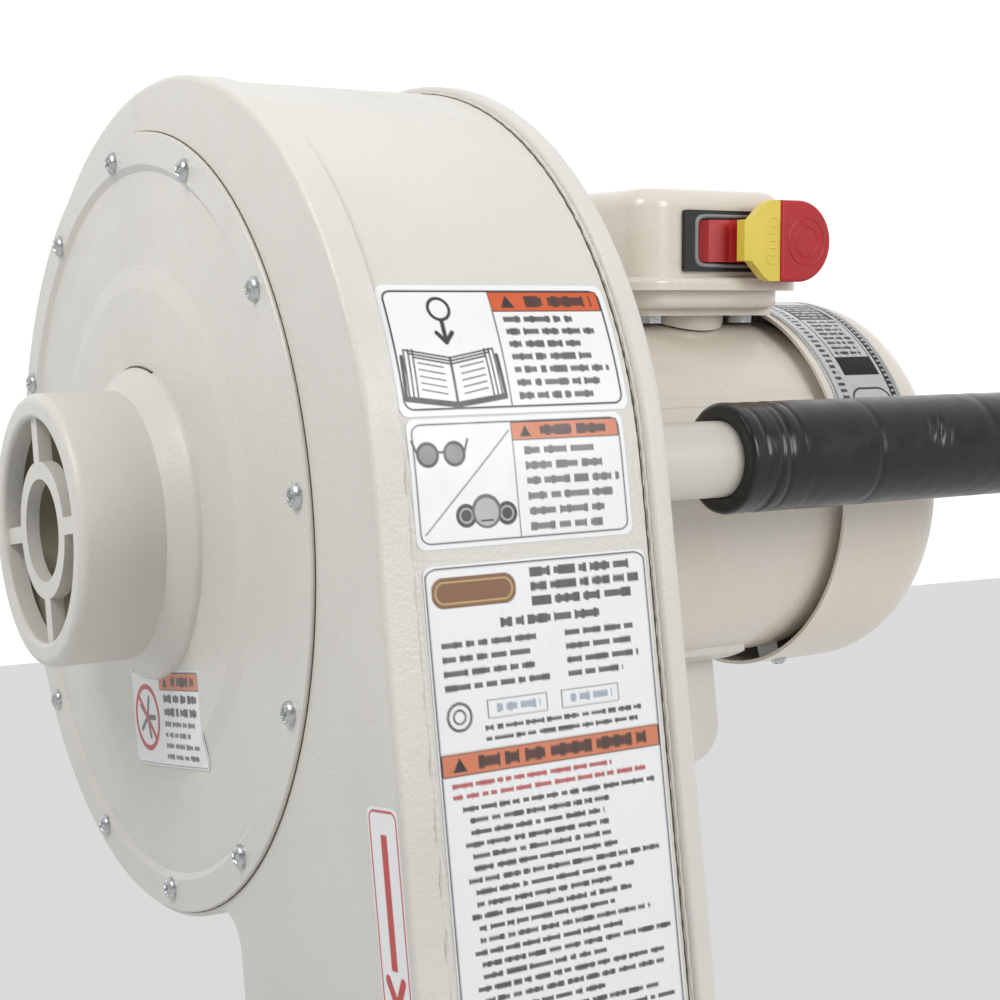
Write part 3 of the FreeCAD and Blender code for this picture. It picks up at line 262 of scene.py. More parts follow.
class Finish:
    """A Principled material with the nodes that feed it, in Object coordinates in metres."""

    def __init__(self, name, colour, roughness, metallic=0.0, specular=0.5):
        self.material = bpy.data.materials.new(name)
        self.material.use_nodes = True
        tree = self.material.node_tree
        self.nodes, self.links = tree.nodes, tree.links
        self.shader = self.nodes["Principled BSDF"]
        self.shader.inputs["Base Color"].default_value = (*colour, 1)
        self.shader.inputs["Roughness"].default_value = roughness
        self.shader.inputs["Metallic"].default_value = metallic
        self.shader.inputs["Specular IOR Level"].default_value = specular
        self.where = self.nodes.new("ShaderNodeTexCoord").outputs["Object"]
        self.colour = None
        self.base = colour
        self.normal = None

    def stretched(self, scale):
        """Coordinates scaled apart along x, y and z, for brushed and woven looks."""
        mapping = self.nodes.new("ShaderNodeMapping")
        mapping.inputs["Scale"].default_value = scale
        self.links.new(self.where, mapping.inputs["Vector"])
        return mapping.outputs["Vector"]

    def noise(self, size, detail=2.0, rough=0.5, where=None):
        """Noise with features of about a size in millimetres."""
        node = self.nodes.new("ShaderNodeTexNoise")
        node.inputs["Scale"].default_value = 1000.0 / size
        node.inputs["Detail"].default_value = detail
        node.inputs["Roughness"].default_value = rough
        self.links.new(where or self.where, node.inputs["Vector"])
        return node.outputs["Fac"]

    def cells(self, size):
        """Distance to the nearest of scattered points, about a size in millimetres apart."""
        node = self.nodes.new("ShaderNodeTexVoronoi")
        node.inputs["Scale"].default_value = 1000.0 / size
        self.links.new(self.where, node.inputs["Vector"])
        return node.outputs["Distance"]

    def spread(self, value, low, high, out_low=0.0, out_high=1.0):
        """Maps low..high to out_low..out_high, held at both ends."""
        return map_range(self.nodes, self.links, value, (low, high, out_low, out_high))

    def threads(self, direction, scale, where):
        """Evenly spaced soft bands, a little crooked, as the threads of a weave are."""
        node = self.nodes.new("ShaderNodeTexWave")
        node.bands_direction = direction
        node.inputs["Scale"].default_value = scale
        node.inputs["Distortion"].default_value = 1.5
        self.links.new(where, node.inputs["Vector"])
        return node.outputs["Fac"]

    def product(self, a, b):
        node = self.nodes.new("ShaderNodeMath")
        node.operation = "MULTIPLY"
        for socket, value in zip(node.inputs, (a, b)):
            self.links.new(value, socket)
        return node.outputs["Value"]

    def tint(self, factor, colour):
        """Mixes a second colour into the base by a factor."""
        node = self.nodes.new("ShaderNodeMix")
        node.data_type = "RGBA"
        self.links.new(factor, node.inputs["Factor"])
        if self.colour is None:
            node.inputs["A"].default_value = (*self.base, 1)
        else:
            self.links.new(self.colour, node.inputs["A"])
        node.inputs["B"].default_value = (*colour, 1)
        self.colour = node.outputs["Result"]
        self.links.new(self.colour, self.shader.inputs["Base Color"])
        return self

    def read_print(self):
        """Takes the base colour from the piece's own printed colours."""
        node = self.nodes.new("ShaderNodeAttribute")
        node.attribute_name = "print"
        self.colour = node.outputs["Color"]
        self.links.new(self.colour, self.shader.inputs["Base Color"])
        return self

    def cloud(self, pattern, low, high, most, colour):
        """Mixes in a colour as a pattern rises from low to high, up to a greatest share."""
        return self.tint(self.spread(pattern, low, high, 0, most), colour)

    def gloss(self, pattern, low, high):
        """Lets the roughness wander with a pattern between two values."""
        self.links.new(self.spread(pattern, 0.3, 0.7, low, high), self.shader.inputs["Roughness"])

    def bump(self, height, depth):
        """Adds relief of a depth in millimetres."""
        node = self.nodes.new("ShaderNodeBump")
        node.inputs["Distance"].default_value = depth * MM
        self.links.new(height, node.inputs["Height"])
        if self.normal is not None:
            self.links.new(self.normal, node.inputs["Normal"])
        self.normal = node.outputs["Normal"]
        self.links.new(self.normal, self.shader.inputs["Normal"])
        return self

    def coat(self, weight, roughness):
        self.shader.inputs["Coat Weight"].default_value = weight
        self.shader.inputs["Coat Roughness"].default_value = roughness
        return self

    def sheen(self, weight, roughness):
        self.shader.inputs["Sheen Weight"].default_value = weight
        self.shader.inputs["Sheen Roughness"].default_value = roughness
        return self


def shade(colour, share):
    """A colour darkened to a share of itself."""
    return tuple(c * share for c in colour)


def powder_coat(name, colour, grain=1.3, depth=0.24):
    """Sprayed and baked paint: orange-peel grain, faint cloudiness, pinholes and handling marks."""
    finish = Finish(name, colour, 0.36)
    finish.cloud(finish.noise(60, 3), 0.35, 0.75, 0.55, shade(colour, 0.90))
    finish.cloud(finish.noise(7, 6, 0.7), 0.63, 0.74, 0.28, shade(colour, 0.72))
    finish.cloud(finish.cells(26), 0.020, 0.005, 0.5, (0.16, 0.14, 0.12))
    finish.gloss(finish.noise(14, 4), 0.28, 0.46)
    finish.bump(finish.noise(grain, 3, 0.55), depth)
    finish.bump(finish.noise(0.55, 2), 0.018)
    return finish.bump(finish.noise(38, 2), 0.22).material


def motor_enamel():
    """Smooth stoved enamel over pressed steel, a little warmer than the housing's."""
    finish = Finish("motor_enamel", (0.725, 0.672, 0.595), 0.30)
    finish.cloud(finish.noise(55, 3), 0.35, 0.75, 0.5, (0.66, 0.59, 0.48))
    finish.cloud(finish.noise(5, 6, 0.7), 0.66, 0.76, 0.22, (0.40, 0.33, 0.24))
    finish.gloss(finish.noise(20, 4), 0.20, 0.36)
    finish.bump(finish.noise(2.4, 3, 0.5), 0.045)
    return finish.bump(finish.noise(45, 2), 0.16).coat(0.25, 0.12).material


def zinc_plate(name, colour=(0.60, 0.62, 0.63), roughness=0.24):
    """Bright zinc: blue-grey metal with fine scratches and small dull spots."""
    finish = Finish(name, colour, roughness, 1.0)
    finish.cloud(finish.noise(2.0, 5, 0.7), 0.45, 0.75, 0.7, shade(colour, 0.45))
    finish.gloss(finish.noise(1.2, 4), roughness * 0.7, roughness * 2.0)
    finish.bump(finish.noise(0.5, 3, where=finish.stretched((1, 1, 0.25))), 0.012)
    return finish.material


def brushed_aluminium():
    """Rolled and brushed sheet: fine lines round the motor."""
    finish = Finish("brushed_aluminium", (0.62, 0.63, 0.64), 0.30, 1.0)
    lines = finish.noise(0.35, 3, 0.6, finish.stretched((1, 0.03, 0.03)))
    finish.cloud(lines, 0.35, 0.7, 0.5, (0.42, 0.43, 0.45))
    finish.gloss(finish.noise(6, 4), 0.24, 0.40)
    return finish.bump(lines, 0.012).material


def cast_metal():
    """Sand-cast aluminium of the motor's end bells."""
    finish = Finish("cast_metal", (0.42, 0.43, 0.44), 0.45, 1.0)
    finish.cloud(finish.noise(9, 4), 0.35, 0.75, 0.5, (0.26, 0.26, 0.27))
    return finish.bump(finish.noise(0.9, 4, 0.6), 0.09).material


def moulded(name, colour, roughness, depth=0.012, coat=0.0):
    """Moulded plastic: slight flow clouds, fine tool texture and rubbed patches."""
    finish = Finish(name, colour, roughness)
    finish.cloud(finish.noise(12, 3), 0.3, 0.75, 0.5, shade(colour, 0.85))
    finish.gloss(finish.noise(5, 5), roughness * 0.8, roughness * 1.35)
    finish.bump(finish.noise(0.45, 3), depth)
    return finish.coat(coat, 0.15).material


def foam_skin():
    """Skinned black foam: leathery grain, pale dust specks and scuffs."""
    finish = Finish("foam_skin", (0.007, 0.007, 0.008), 0.32)
    finish.cloud(finish.noise(16, 5, 0.65), 0.50, 0.8, 0.4, (0.022, 0.022, 0.024))
    finish.cloud(finish.noise(1.6, 4, 0.7), 0.68, 0.80, 0.3, (0.07, 0.07, 0.07))
    finish.gloss(finish.noise(11, 5), 0.20, 0.34)
    finish.bump(finish.noise(0.9, 3, 0.6), 0.035)
    finish.bump(finish.noise(7.0, 4, 0.5, finish.stretched((1.6, 0.7, 0.7))), 0.14)
    return finish.material


def printed_film():
    """Vinyl sticker that shows its printed colours under a satin film."""
    finish = Finish("printed_film", WHITE_FILM, 0.34).read_print()
    finish.gloss(finish.noise(9, 4), 0.26, 0.44)
    finish.bump(finish.noise(1.9, 3), 0.016)
    return finish.coat(0.15, 0.2).material


def printed_plate():
    """Aluminium nameplate printed in black."""
    finish = Finish("printed_plate", (0.6, 0.6, 0.6), 0.32, 0.75).read_print()
    finish.gloss(finish.noise(3, 4), 0.26, 0.42)
    return finish.bump(finish.noise(0.4, 3, where=finish.stretched((1, 0.05, 0.05))), 0.010).material


def bag_cloth():
    """Felted filter cloth: plain weave under a nap, dust in the folds."""
    finish = Finish("bag_cloth", (0.70, 0.68, 0.60), 0.92, specular=0.2)
    finish.cloud(finish.noise(70, 4), 0.35, 0.75, 0.6, (0.60, 0.57, 0.49))
    finish.cloud(finish.noise(9, 6, 0.7), 0.55, 0.80, 0.35, (0.46, 0.42, 0.34))
    warp = finish.threads("Z", 330, finish.where)
    weft = finish.threads("DIAGONAL", 300, finish.stretched((1, 1, 0.001)))
    finish.bump(finish.product(warp, weft), 0.10)
    finish.bump(finish.noise(0.6, 3, 0.6), 0.14)
    return finish.sheen(0.25, 0.5).material


def plain_parts():
    """Finishes that need no function of their own, by name."""
    return {
        "steel": zinc_plate("ground_steel", (0.52, 0.53, 0.54), 0.28),
        "wheel": powder_coat("wheel_enamel", (0.30, 0.28, 0.20), 2.4),
        "iron": zinc_plate("core_iron", (0.20, 0.20, 0.21), 0.45),
        "copper": zinc_plate("winding_wire", (0.50, 0.20, 0.08), 0.35),
        "black": moulded("black_plastic", (0.012, 0.012, 0.013), 0.34),
        "grey": moulded("grey_plastic", (0.24, 0.25, 0.26), 0.42),
        "rubber": moulded("black_rubber", (0.016, 0.016, 0.017), 0.55),
        "red": moulded("red_plastic", (0.46, 0.008, 0.012), 0.32, coat=0.2),
        "yellow": moulded("yellow_plastic", (0.78, 0.62, 0.085), 0.36, coat=0.15),
        "seam": moulded("seam_shadow", (0.075, 0.060, 0.040), 0.7),
        # dark olive for the sheet inside the inlet bore: painted shade of the deep bore, not the wall's own
        # paint
        "bore_shade": moulded("painted_bore_shade", (0.42, 0.39, 0.28), 0.8, depth=0.08),
    }


housing_paint = powder_coat("housing_powder_coat", (0.655, 0.640, 0.590))
handle_paint = powder_coat("handle_powder_coat", (0.630, 0.610, 0.545), 2.0, 0.09)
caulk_paint = powder_coat("bead_paint", (0.665, 0.648, 0.595), 1.2, 0.16)
enamel = motor_enamel()
zinc = zinc_plate("bright_zinc")
aluminium = brushed_aluminium()
casting = cast_metal()
foam = foam_skin()
film = printed_film()
plate_print = printed_plate()
cloth = bag_cloth()
parts = plain_parts()

NODE_FINISHES = [
    (housing_paint, ["front_pan", "scroll_band", "rear_plate", "outlet_plate", "outlet_collar",
                     "inlet_cover_plate", "inlet_spigot", "hanger_bracket", "wall_plate", "motor_support"]),
    (handle_paint, ["handle_tube"]),
    (enamel, ["motor_shell", "fan_cover", "box_boss", "box_plate", "switch_tray", "switch_cover"]),
    (zinc, ["outlet_screws", "cover_plate_screws", "impeller_bolt", "impeller_washer", "motor_bolts",
            "fan_cover_screws", "box_plate_bolts", "switch_cover_screws", "handle_screws", "hanger_bolts",
            "bag_band", "bag_latch"]),
    (parts["steel"], ["motor_shaft", "shaft_key", "impeller_hub", "front_bearing_outer",
                      "front_bearing_inner", "front_bearing_balls", "rear_bearing_outer",
                      "rear_bearing_inner", "rear_bearing_balls"]),
    (parts["wheel"], ["impeller"]),
    (casting, ["motor_front_bell", "motor_rear_bell"]),
    (aluminium, ["nameplate"]),
    (parts["iron"], ["stator_core", "rotor_core"]),
    (parts["copper"], ["stator_windings"]),
    (parts["black"], ["cooling_fan", "switch_body", "handle_plug", "cord_gland", "centrifugal_weight",
                      "start_switch", "capacitor"]),
    (parts["rubber"], ["boss_gasket"]),
    (parts["red"], ["switch_rocker", "key_cap"]),
    (parts["yellow"], ["safety_key"]),
    (foam, ["handle_grip"]),
    (cloth, ["filter_bag"]),
]


def dress_nodes():
    """Gives every CAD node its finish."""
    for material, names in NODE_FINISHES:
        for name in names:
            for material_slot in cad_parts[name].material_slots:
                material_slot.material = material


# ---------- print


class Print:
    """Colours of a printed sheet: u runs right and v down, in millimetres from its top left."""

    def __init__(self, width, height, cell, ground):
        self.width, self.height = width, height
        columns, rows = int(round(width / cell)) + 1, int(round(height / cell)) + 1
        down, right = np.linspace(0, height, rows), np.linspace(0, width, columns)
        self.v, self.u = np.meshgrid(down, right, indexing="ij")
        self.rgb = np.empty((*self.u.shape, 3))
        self.rgb[:] = ground

    def fill(self, mask, colour, strength=1.0):
        amount = (np.clip(mask, 0, 1) * strength)[..., None]
        self.rgb = self.rgb * (1 - amount) + np.array(colour) * amount

    def cover(self, distance):
        """How much of a cell a shape covers: 1 inside, 0 outside, a soft step 0.3 mm wide."""
        return np.clip(0.5 - distance / 0.3, 0, 1)

    def rounded(self, u0, u1, v0, v1, corner):
        """Signed distance to a rectangle with round corners, negative inside."""
        a = np.abs(self.u - (u0 + u1) / 2) - (u1 - u0) / 2 + corner
        b = np.abs(self.v - (v0 + v1) / 2) - (v1 - v0) / 2 + corner
        return np.hypot(np.maximum(a, 0), np.maximum(b, 0)) + np.minimum(np.maximum(a, b), 0) - corner

    def rectangle(self, u0, u1, v0, v1, colour, corner=0.01):
        self.fill(self.cover(self.rounded(u0, u1, v0, v1, corner)), colour)

    def outline(self, u0, u1, v0, v1, colour, corner, thick):
        self.fill(self.cover(np.abs(self.rounded(u0, u1, v0, v1, corner)) - thick / 2), colour)

    def disc(self, u0, v0, radius, colour):
        self.fill(self.cover(np.hypot(self.u - u0, self.v - v0) - radius), colour)

    def ring(self, u0, v0, radius, thick, colour):
        self.fill(self.cover(np.abs(np.hypot(self.u - u0, self.v - v0) - radius) - thick / 2), colour)

    def stroke(self, u0, v0, u1, v1, thick, colour):
        """Straight line with round ends: distance to the nearest point of the segment."""
        du, dv = u1 - u0, v1 - v0
        t = np.clip(((self.u - u0) * du + (self.v - v0) * dv) / (du * du + dv * dv), 0, 1)
        self.fill(self.cover(np.hypot(self.u - u0 - t * du, self.v - v0 - t * dv) - thick / 2), colour)

    def triangle(self, u0, v0, size, colour):
        """Upright triangle: the furthest out of its three half-planes."""
        base = self.v - v0 - size * 0.45
        sides = np.abs(self.u - u0) * 0.866 - (self.v - v0 + size * 0.45) * 0.5
        self.fill(self.cover(np.maximum(base, sides)), colour)

    def lines(self, u0, u1, v0, v1, count, colour, seed, ragged=0.25, weight=0.42, indent=0.0):
        """Rows of grey word-shaped bars, with no letters in them: each row's words have
        random lengths, and a finer random pattern darkens and lightens them as small type does."""
        rng = np.random.default_rng(seed)
        pitch = (v1 - v0) / count
        for row in range(count):
            middle = v0 + (row + 0.5) * pitch
            start = u0 + (indent if row % 3 else 0.0)
            end = u1 - (u1 - u0) * ragged * rng.random()
            ends = start + np.cumsum(rng.uniform(0.9, 3.0, 60) * pitch * 0.9)
            gap = pitch * 0.30
            word = np.searchsorted(ends, self.u)
            left = np.concatenate([[start], ends])[np.clip(word, 0, len(ends))]
            inside = (self.u > left + gap) & (self.u > start) & (self.u < end)
            tone = rng.uniform(0.55, 1.0, 4096)[(self.u / (pitch * 0.34)).astype(int) % 4096]
            tall = pitch * weight / 2 * (0.86 + 0.28 * (tone > 0.82))
            height = self.cover(np.abs(self.v - middle) - tall)
            self.fill(inside * height * (0.84 + 0.16 * tone), colour, 0.93)


def sticker(name, art, corner, place_point, material=film, edge=0.16):
    """Thin printed sheet laid on a surface.

    place_point(u, v, lift) gives the surface point under a point of the print; the sheet
    stands off by its thickness, and one more row and column all round goes down to the
    surface.  Near the top and bottom each row is drawn in so that the corners come out round.
    """
    u, v = np.pad(art.u, 1, mode="edge"), np.pad(art.v, 1, mode="edge")
    rgb = np.pad(art.rgb, ((1, 1), (1, 1), (0, 0)), mode="edge")
    lift = np.full(u.shape, edge)
    lift[[0, -1]] = lift[:, [0, -1]] = -0.05
    near = np.clip(corner - np.minimum(v, art.height - v), 0, corner)
    inset = corner - np.sqrt(corner ** 2 - near ** 2)
    u = inset + u * (art.width - 2 * inset) / art.width
    surface(name, place_point(u, v, lift), "root", material, colours=rgb)


def header(art, u0, u1, v0, v1, ground, seed):
    """Coloured heading band with a triangle and one bold word-shaped bar."""
    art.rectangle(u0, u1, v0, v1, ground, 0.4)
    art.outline(u0, u1, v0, v1, INK, 0.4, 0.35)
    middle, tall = (v0 + v1) / 2, v1 - v0
    art.triangle(u0 + tall * 0.9, middle, tall * 0.72, INK)
    art.lines(u0 + tall * 1.6, u1 - tall * 0.4, v0, v1, 1, INK, seed, 0.05, 0.52)


def manual_sticker():
    """Upper sticker: open book on the left, heading and short lines on the right."""
    bottom, top = height_to_run(18.9), height_to_run(60.2)
    art = Print(83.0, float(top - bottom), 0.3, WHITE_FILM)
    h = art.height
    art.outline(2.2, 80.8, 2.2, h - 2.2, INK, 3.0, 0.7)
    header(art, 39.5, 80.4, 2.5, 9.3, ORANGE, 3)
    art.stroke(39.5, 9.0, 39.5, h - 2.6, 0.5, INK)
    art.lines(41.5, 79.0, 10.0, h - 3.4, 7, INK, 4, 0.30, 0.50)
    for side in (-1, 1):
        for leaf in range(3):
            edge = 15.6 - leaf * 1.5
            art.stroke(20.5, 24.6 + leaf, 20.5 + side * edge, 21.8 + leaf * 1.2, 0.6, INK)
            art.stroke(20.5 + side * edge, 21.8, 20.5 + side * (edge + 0.6), 36.6, 0.6, INK)
        art.stroke(20.5, 39.4, 20.5 + side * 17.0, 37.2, 1.9, INK)
        art.stroke(20.5 + side * 16.6, 24.0, 20.5 + side * 17.4, 37.4, 1.3, INK)
        for row in range(5):
            art.stroke(20.5 + side * 3.0, 27.6 + row * 2.1, 20.5 + side * 11.4, 26.0 + row * 2.1, 0.45, INK)
    art.stroke(20.5, 24.6, 20.5, 39.4, 0.9, INK)
    art.disc(20.5, 8.4, 4.2, INK)
    art.disc(20.5, 8.4, 3.1, WHITE_FILM)
    art.stroke(20.5, 12.6, 20.5, 19.0, 1.5, INK)
    art.stroke(17.8, 16.4, 20.5, 19.6, 1.5, INK)
    art.stroke(23.2, 16.4, 20.5, 19.6, 1.5, INK)
    sticker("manual_sticker", art, 3.2, lambda u, v, lift: band_point(top - v, 13.6 + u, lift))


def goggles_sticker():
    """Middle sticker: goggles over a dust mask, heading and short lines on the right."""
    top = 18.3
    art = Print(78.2, 39.1, 0.3, WHITE_FILM)
    art.outline(1.8, 76.4, 1.8, 37.3, INK, 3.0, 0.5)
    header(art, 36.5, 76.0, 2.1, 7.6, PALE_ORANGE, 13)
    art.stroke(36.5, 7.6, 36.5, 37.0, 0.4, GREY_INK)
    art.lines(39.0, 75.0, 8.6, 36.6, 6, GREY_INK, 14, 0.30, 0.48)
    art.stroke(3.5, 34.5, 35.5, 4.5, 0.45, GREY_INK)
    for side in (-1, 1):
        art.disc(11.0 + side * 4.6, 10.8, 3.9, INK)
        art.disc(11.0 + side * 4.6, 10.8, 2.9, (0.20, 0.21, 0.22))
        art.stroke(11.0 + side * 8.3, 10.0, 11.0 + side * 9.6, 6.6, 0.7, INK)
        art.disc(25.0 + side * 7.2, 29.6, 3.6, INK)
        art.ring(25.0 + side * 7.2, 29.6, 2.1, 0.5, (0.45, 0.45, 0.45))
    art.stroke(9.6, 10.2, 12.4, 10.2, 0.8, INK)
    art.disc(25.0, 28.6, 5.2, GREY_INK)
    art.disc(25.0, 28.8, 4.2, (0.42, 0.42, 0.43))
    art.stroke(23.0, 31.4, 27.0, 31.4, 0.6, INK)
    sticker("goggles_sticker", art, 3.2,
            lambda u, v, lift: band_point(height_to_run(top - v), 14.9 + u, lift))


def data_sticker():
    """Long lower sticker: title, two columns of data, two stamped boxes, heading and a list."""
    top = -25.6
    art = Print(81.2, 151.0, 0.42, WHITE_FILM)
    art.outline(0.9, 80.3, 0.9, 150.1, INK, 3.0, 0.6)
    art.rectangle(2.6, 32.0, 3.6, 12.8, (0.20, 0.085, 0.035), 4.0)
    art.outline(4.0, 30.6, 5.0, 11.4, (0.55, 0.40, 0.14), 3.0, 0.5)
    art.lines(36.0, 78.0, 2.0, 15.2, 3, INK, 21, 0.12, 0.56)
    art.lines(24.0, 62.0, 16.2, 20.8, 1, INK, 22, 0.02, 0.56)
    art.lines(3.0, 44.0, 21.6, 38.4, 4, INK, 23, 0.22, 0.42)
    art.lines(47.0, 78.0, 21.6, 38.4, 4, INK, 24, 0.42, 0.42)
    for u0 in (18.5, 45.0):
        art.outline(u0, u0 + 21.0, 41.0, 46.4, GREY_INK, 0.2, 0.3)
        art.lines(u0 + 2.0, u0 + 19.0, 41.6, 45.8, 1, (0.30, 0.36, 0.45), 25, 0.1, 0.55)
    art.ring(8.6, 45.0, 4.0, 0.9, GREY_INK)
    art.ring(8.6, 45.0, 2.0, 0.7, GREY_INK)
    art.lines(16.0, 78.0, 47.6, 54.2, 2, INK, 26, 0.12, 0.40)
    header(art, 1.3, 79.9, 55.6, 62.2, PALE_ORANGE, 27)
    art.lines(3.0, 77.0, 63.4, 70.0, 2, (0.42, 0.05, 0.04), 28, 0.25, 0.42)
    art.lines(6.0, 78.0, 70.4, 148.0, 22, INK, 29, 0.38, 0.42, 2.0)
    sticker("data_sticker", art, 3.2, lambda u, v, lift: band_point(top - v, 15.8 + u, lift))


def outlet_sticker():
    """Narrow upright sticker on the pan's face: a red arrow pointing down to the outlet."""
    art = Print(19.0, 72.0, 0.3, WHITE_FILM)
    art.outline(1.2, 17.8, 1.2, 70.8, RED_INK, 2.4, 0.8)
    art.rectangle(7.6, 11.4, 8.0, 48.0, RED_INK, 0.4)
    for side in (-1, 1):
        art.stroke(9.5 + side * 4.6, 51.0, 9.5, 58.6, 3.2, RED_INK)
    sticker("outlet_sticker", art, 3.0,
            lambda u, v, lift: place(PAN_FACE_X - lift, -164.0 - u, -94.6 - v))


def guard_sticker():
    """Small sticker by the inlet: heading, a red ring with a bar across it and short lines."""
    art = Print(69.5, 36.0, 0.3, WHITE_FILM)
    art.outline(0.8, 68.7, 0.8, 35.2, GREY_INK, 1.6, 0.35)
    header(art, 30.0, 68.0, 1.2, 7.4, PALE_ORANGE, 31)
    art.lines(32.0, 67.0, 8.2, 18.0, 2, INK, 32, 0.2, 0.55)
    art.lines(32.0, 67.5, 18.0, 34.0, 4, GREY_INK, 33, 0.3, 0.44)
    for arm in range(5):
        a = 2 * pi * arm / 5
        art.stroke(15.5, 18.0, 15.5 + 7.6 * np.cos(a), 18.0 + 7.6 * np.sin(a), 2.0, GREY_INK)
    art.ring(15.5, 18.0, 11.6, 2.0, RED_INK)
    art.stroke(7.4, 9.9, 23.6, 26.1, 2.0, RED_INK)

    def on_cover(u, v, lift):
        y, z = 26.0 - u, -55.0 - v
        return place(cover_depth(np.hypot(y, z)) - lift, y, z)

    sticker("guard_sticker", art, 1.8, on_cover)


def rating_plate():
    """Printed face of the nameplate: a black table with pale rows and rulings."""
    width, start, end = 36.5, np.radians(11.0), np.radians(81.0)
    run = (end - start) * RATING_PLATE_R
    silver = (0.62, 0.63, 0.64)
    art = Print(width, run, 0.35, silver)
    art.outline(1.0, width - 1.0, 1.0, run - 1.0, INK, 1.5, 0.5)
    art.lines(3.0, 8.0, 3.0, run - 4.0, 30, INK, 41, 0.2, 0.5)
    art.rectangle(10.0, 30.0, 14.0, 34.0, INK, 0.3)
    for row in range(6):
        art.lines(11.0, 29.0, 15.0 + 3.1 * row, 18.0 + 3.1 * row, 1, silver, 42 + row, 0.1, 0.45)
    art.outline(10.0, 30.0, 34.0, 62.0, INK, 0.3, 0.5)
    for column in range(1, 5):
        art.stroke(10.0 + 4.0 * column, 14.0, 10.0 + 4.0 * column, 62.0, 0.35, (0.25, 0.25, 0.26))
    art.lines(11.0, 29.0, 35.0, 61.0, 8, INK, 53, 0.15, 0.5)
    art.rectangle(10.0, 30.0, 62.0, 72.0, INK, 0.3)
    art.rectangle(31.5, 34.5, 4.0, run - 5.0, INK, 0.3)
    art.lines(31.8, 34.2, 5.0, run - 6.0, 34, silver, 54, 0.1, 0.4)
    art.outline(9.5, 30.5, run - 22.0, run - 8.0, INK, 6.0, 0.9)

    def on_cover(u, v, lift):
        turn = start + v / RATING_PLATE_R
        r = RATING_PLATE_R + lift
        return place(RATING_PLATE_X + u, -r * np.sin(turn), r * np.cos(turn))

    sticker("rating_plate", art, 1.6, on_cover, plate_print, 0.06)


# ---------- housing details


def housing_beads():
    """Weld along the pan's lip low down, caulk along the rear lip, and their shadow lines."""
    bottom = HOUSING_BOTTOM + 2
    top_run = float(OUTLINE_S[OUTLINE_ANGLES > -60][-1])
    for name, x, low, high, lift, radius, material, seed, unevenness in (
            ("front_weld", PAN_LIP_X + 0.3, bottom, 16.0, 0.5, 1.15, caulk_paint, 5, 0.5),
            ("front_seam", PAN_LIP_X + 0.15, 14.0, top_run, 0.05, 0.28, parts["seam"], 6, 0.3),
            ("rear_caulk", REAR_LIP_X - 0.2, bottom, top_run, 0.2, 0.8, caulk_paint, 7, 0.45),
            ("rear_seam", REAR_LIP_X - 1.5, bottom, top_run, -0.05, 0.30, parts["seam"], 8, 0.5)):
        path = band_point(np.arange(low, high, BEAD_STEP), x, lift)
        bead(name, path, radius, "root", material, seed, unevenness)


def plate_seam():
    """Dark line where the cover plate meets the pan: a thin ring at the plate's edge."""
    turn = full_turn(480)[:, None]
    around = full_turn(8)
    r = PLATE_R + 0.05 + 0.26 * np.cos(around)
    x = PAN_FACE_X - 0.05 - 0.26 * np.sin(around)
    points = place(x, r * np.sin(turn), r * np.cos(turn))
    face_outward(surface("plate_seam", points, "root", parts["seam"], True, True))


def band_lap():
    """Lapped end of the rolled strip: a second thickness that steps down to the strip below.

    Height over the strip is 0.8 mm at the free edge and falls away smoothly over 45 mm."""
    start = float(np.interp(-19.0, -OUTLINE_ANGLES, OUTLINE_S))
    end = start + 45.0
    run = np.concatenate([[start, start], np.linspace(start + 0.3, end, 40)])[:, None]
    x = np.concatenate([[16.0, 16.0], np.linspace(16.4, 97.2, 60), [97.6, 97.6]])
    fall = 0.5 + 0.5 * np.cos(pi * np.clip((run - start) / (end - start), 0, 1))
    lift = 0.8 * fall * np.ones_like(x)
    lift[0] = -0.2
    lift[:, [0, -1]] = -0.2
    points = band_point(run * np.ones_like(x), x * np.ones_like(run), lift)
    surface("band_lap", points, "root", housing_paint)


def inlet_foot():
    """Round roll at the inlet's foot, turned about the shaft.

    A share falls evenly from one at the inner radius to nothing at the outer one.  The roll
    stands out by 3.6 times the share to the power 1.6 plus 6.3 times its square root.
    """
    radius = np.linspace(FOOT_R + 0.02, FOOT_R + FOOT_REACH, 22)
    turn = full_turn(240)[:, None]
    share = np.clip(1 - (radius - FOOT_R) / FOOT_REACH, 0, 1)
    x = -(3.6 * share ** 1.6 + 6.3 * share ** 0.5) * np.ones_like(turn)
    wobble = 0.12 * ripple(5 * np.cos(turn), 5 * np.sin(turn), 15)
    radius = radius + wobble * np.sin(pi * (radius - FOOT_R) / FOOT_REACH)
    points = place(x, -radius * np.sin(turn), radius * np.cos(turn))
    surface("inlet_foot", points, "root", housing_paint, loop_rows=True)
    gap = np.linspace(np.radians(-24), np.radians(4), 60)
    path = place(-0.35, GAP_R * np.sin(gap), GAP_R * np.cos(gap))
    bead("foot_gap", path, 0.55, "root", parts["seam"], 16, 0.2)


def bore_shade_lining():
    """Darker inner wall of the inlet: a tube just inside the bore, from the guard to the impeller. Its dark
    olive is painted shade of the deep bore, laid over the wall's own paint.
    """
    x = np.linspace(-33.2, 3.4, 30)
    turn = full_turn(180)[:, None]
    radius = LINING_R + 0.05 * ripple(x / 3.0, 4 * np.sin(turn), 17)
    points = place(x * np.ones_like(turn), -radius * np.sin(turn), radius * np.cos(turn))
    surface("bore_shade_lining", points[:, ::-1], "root", parts["bore_shade"], loop_rows=True)


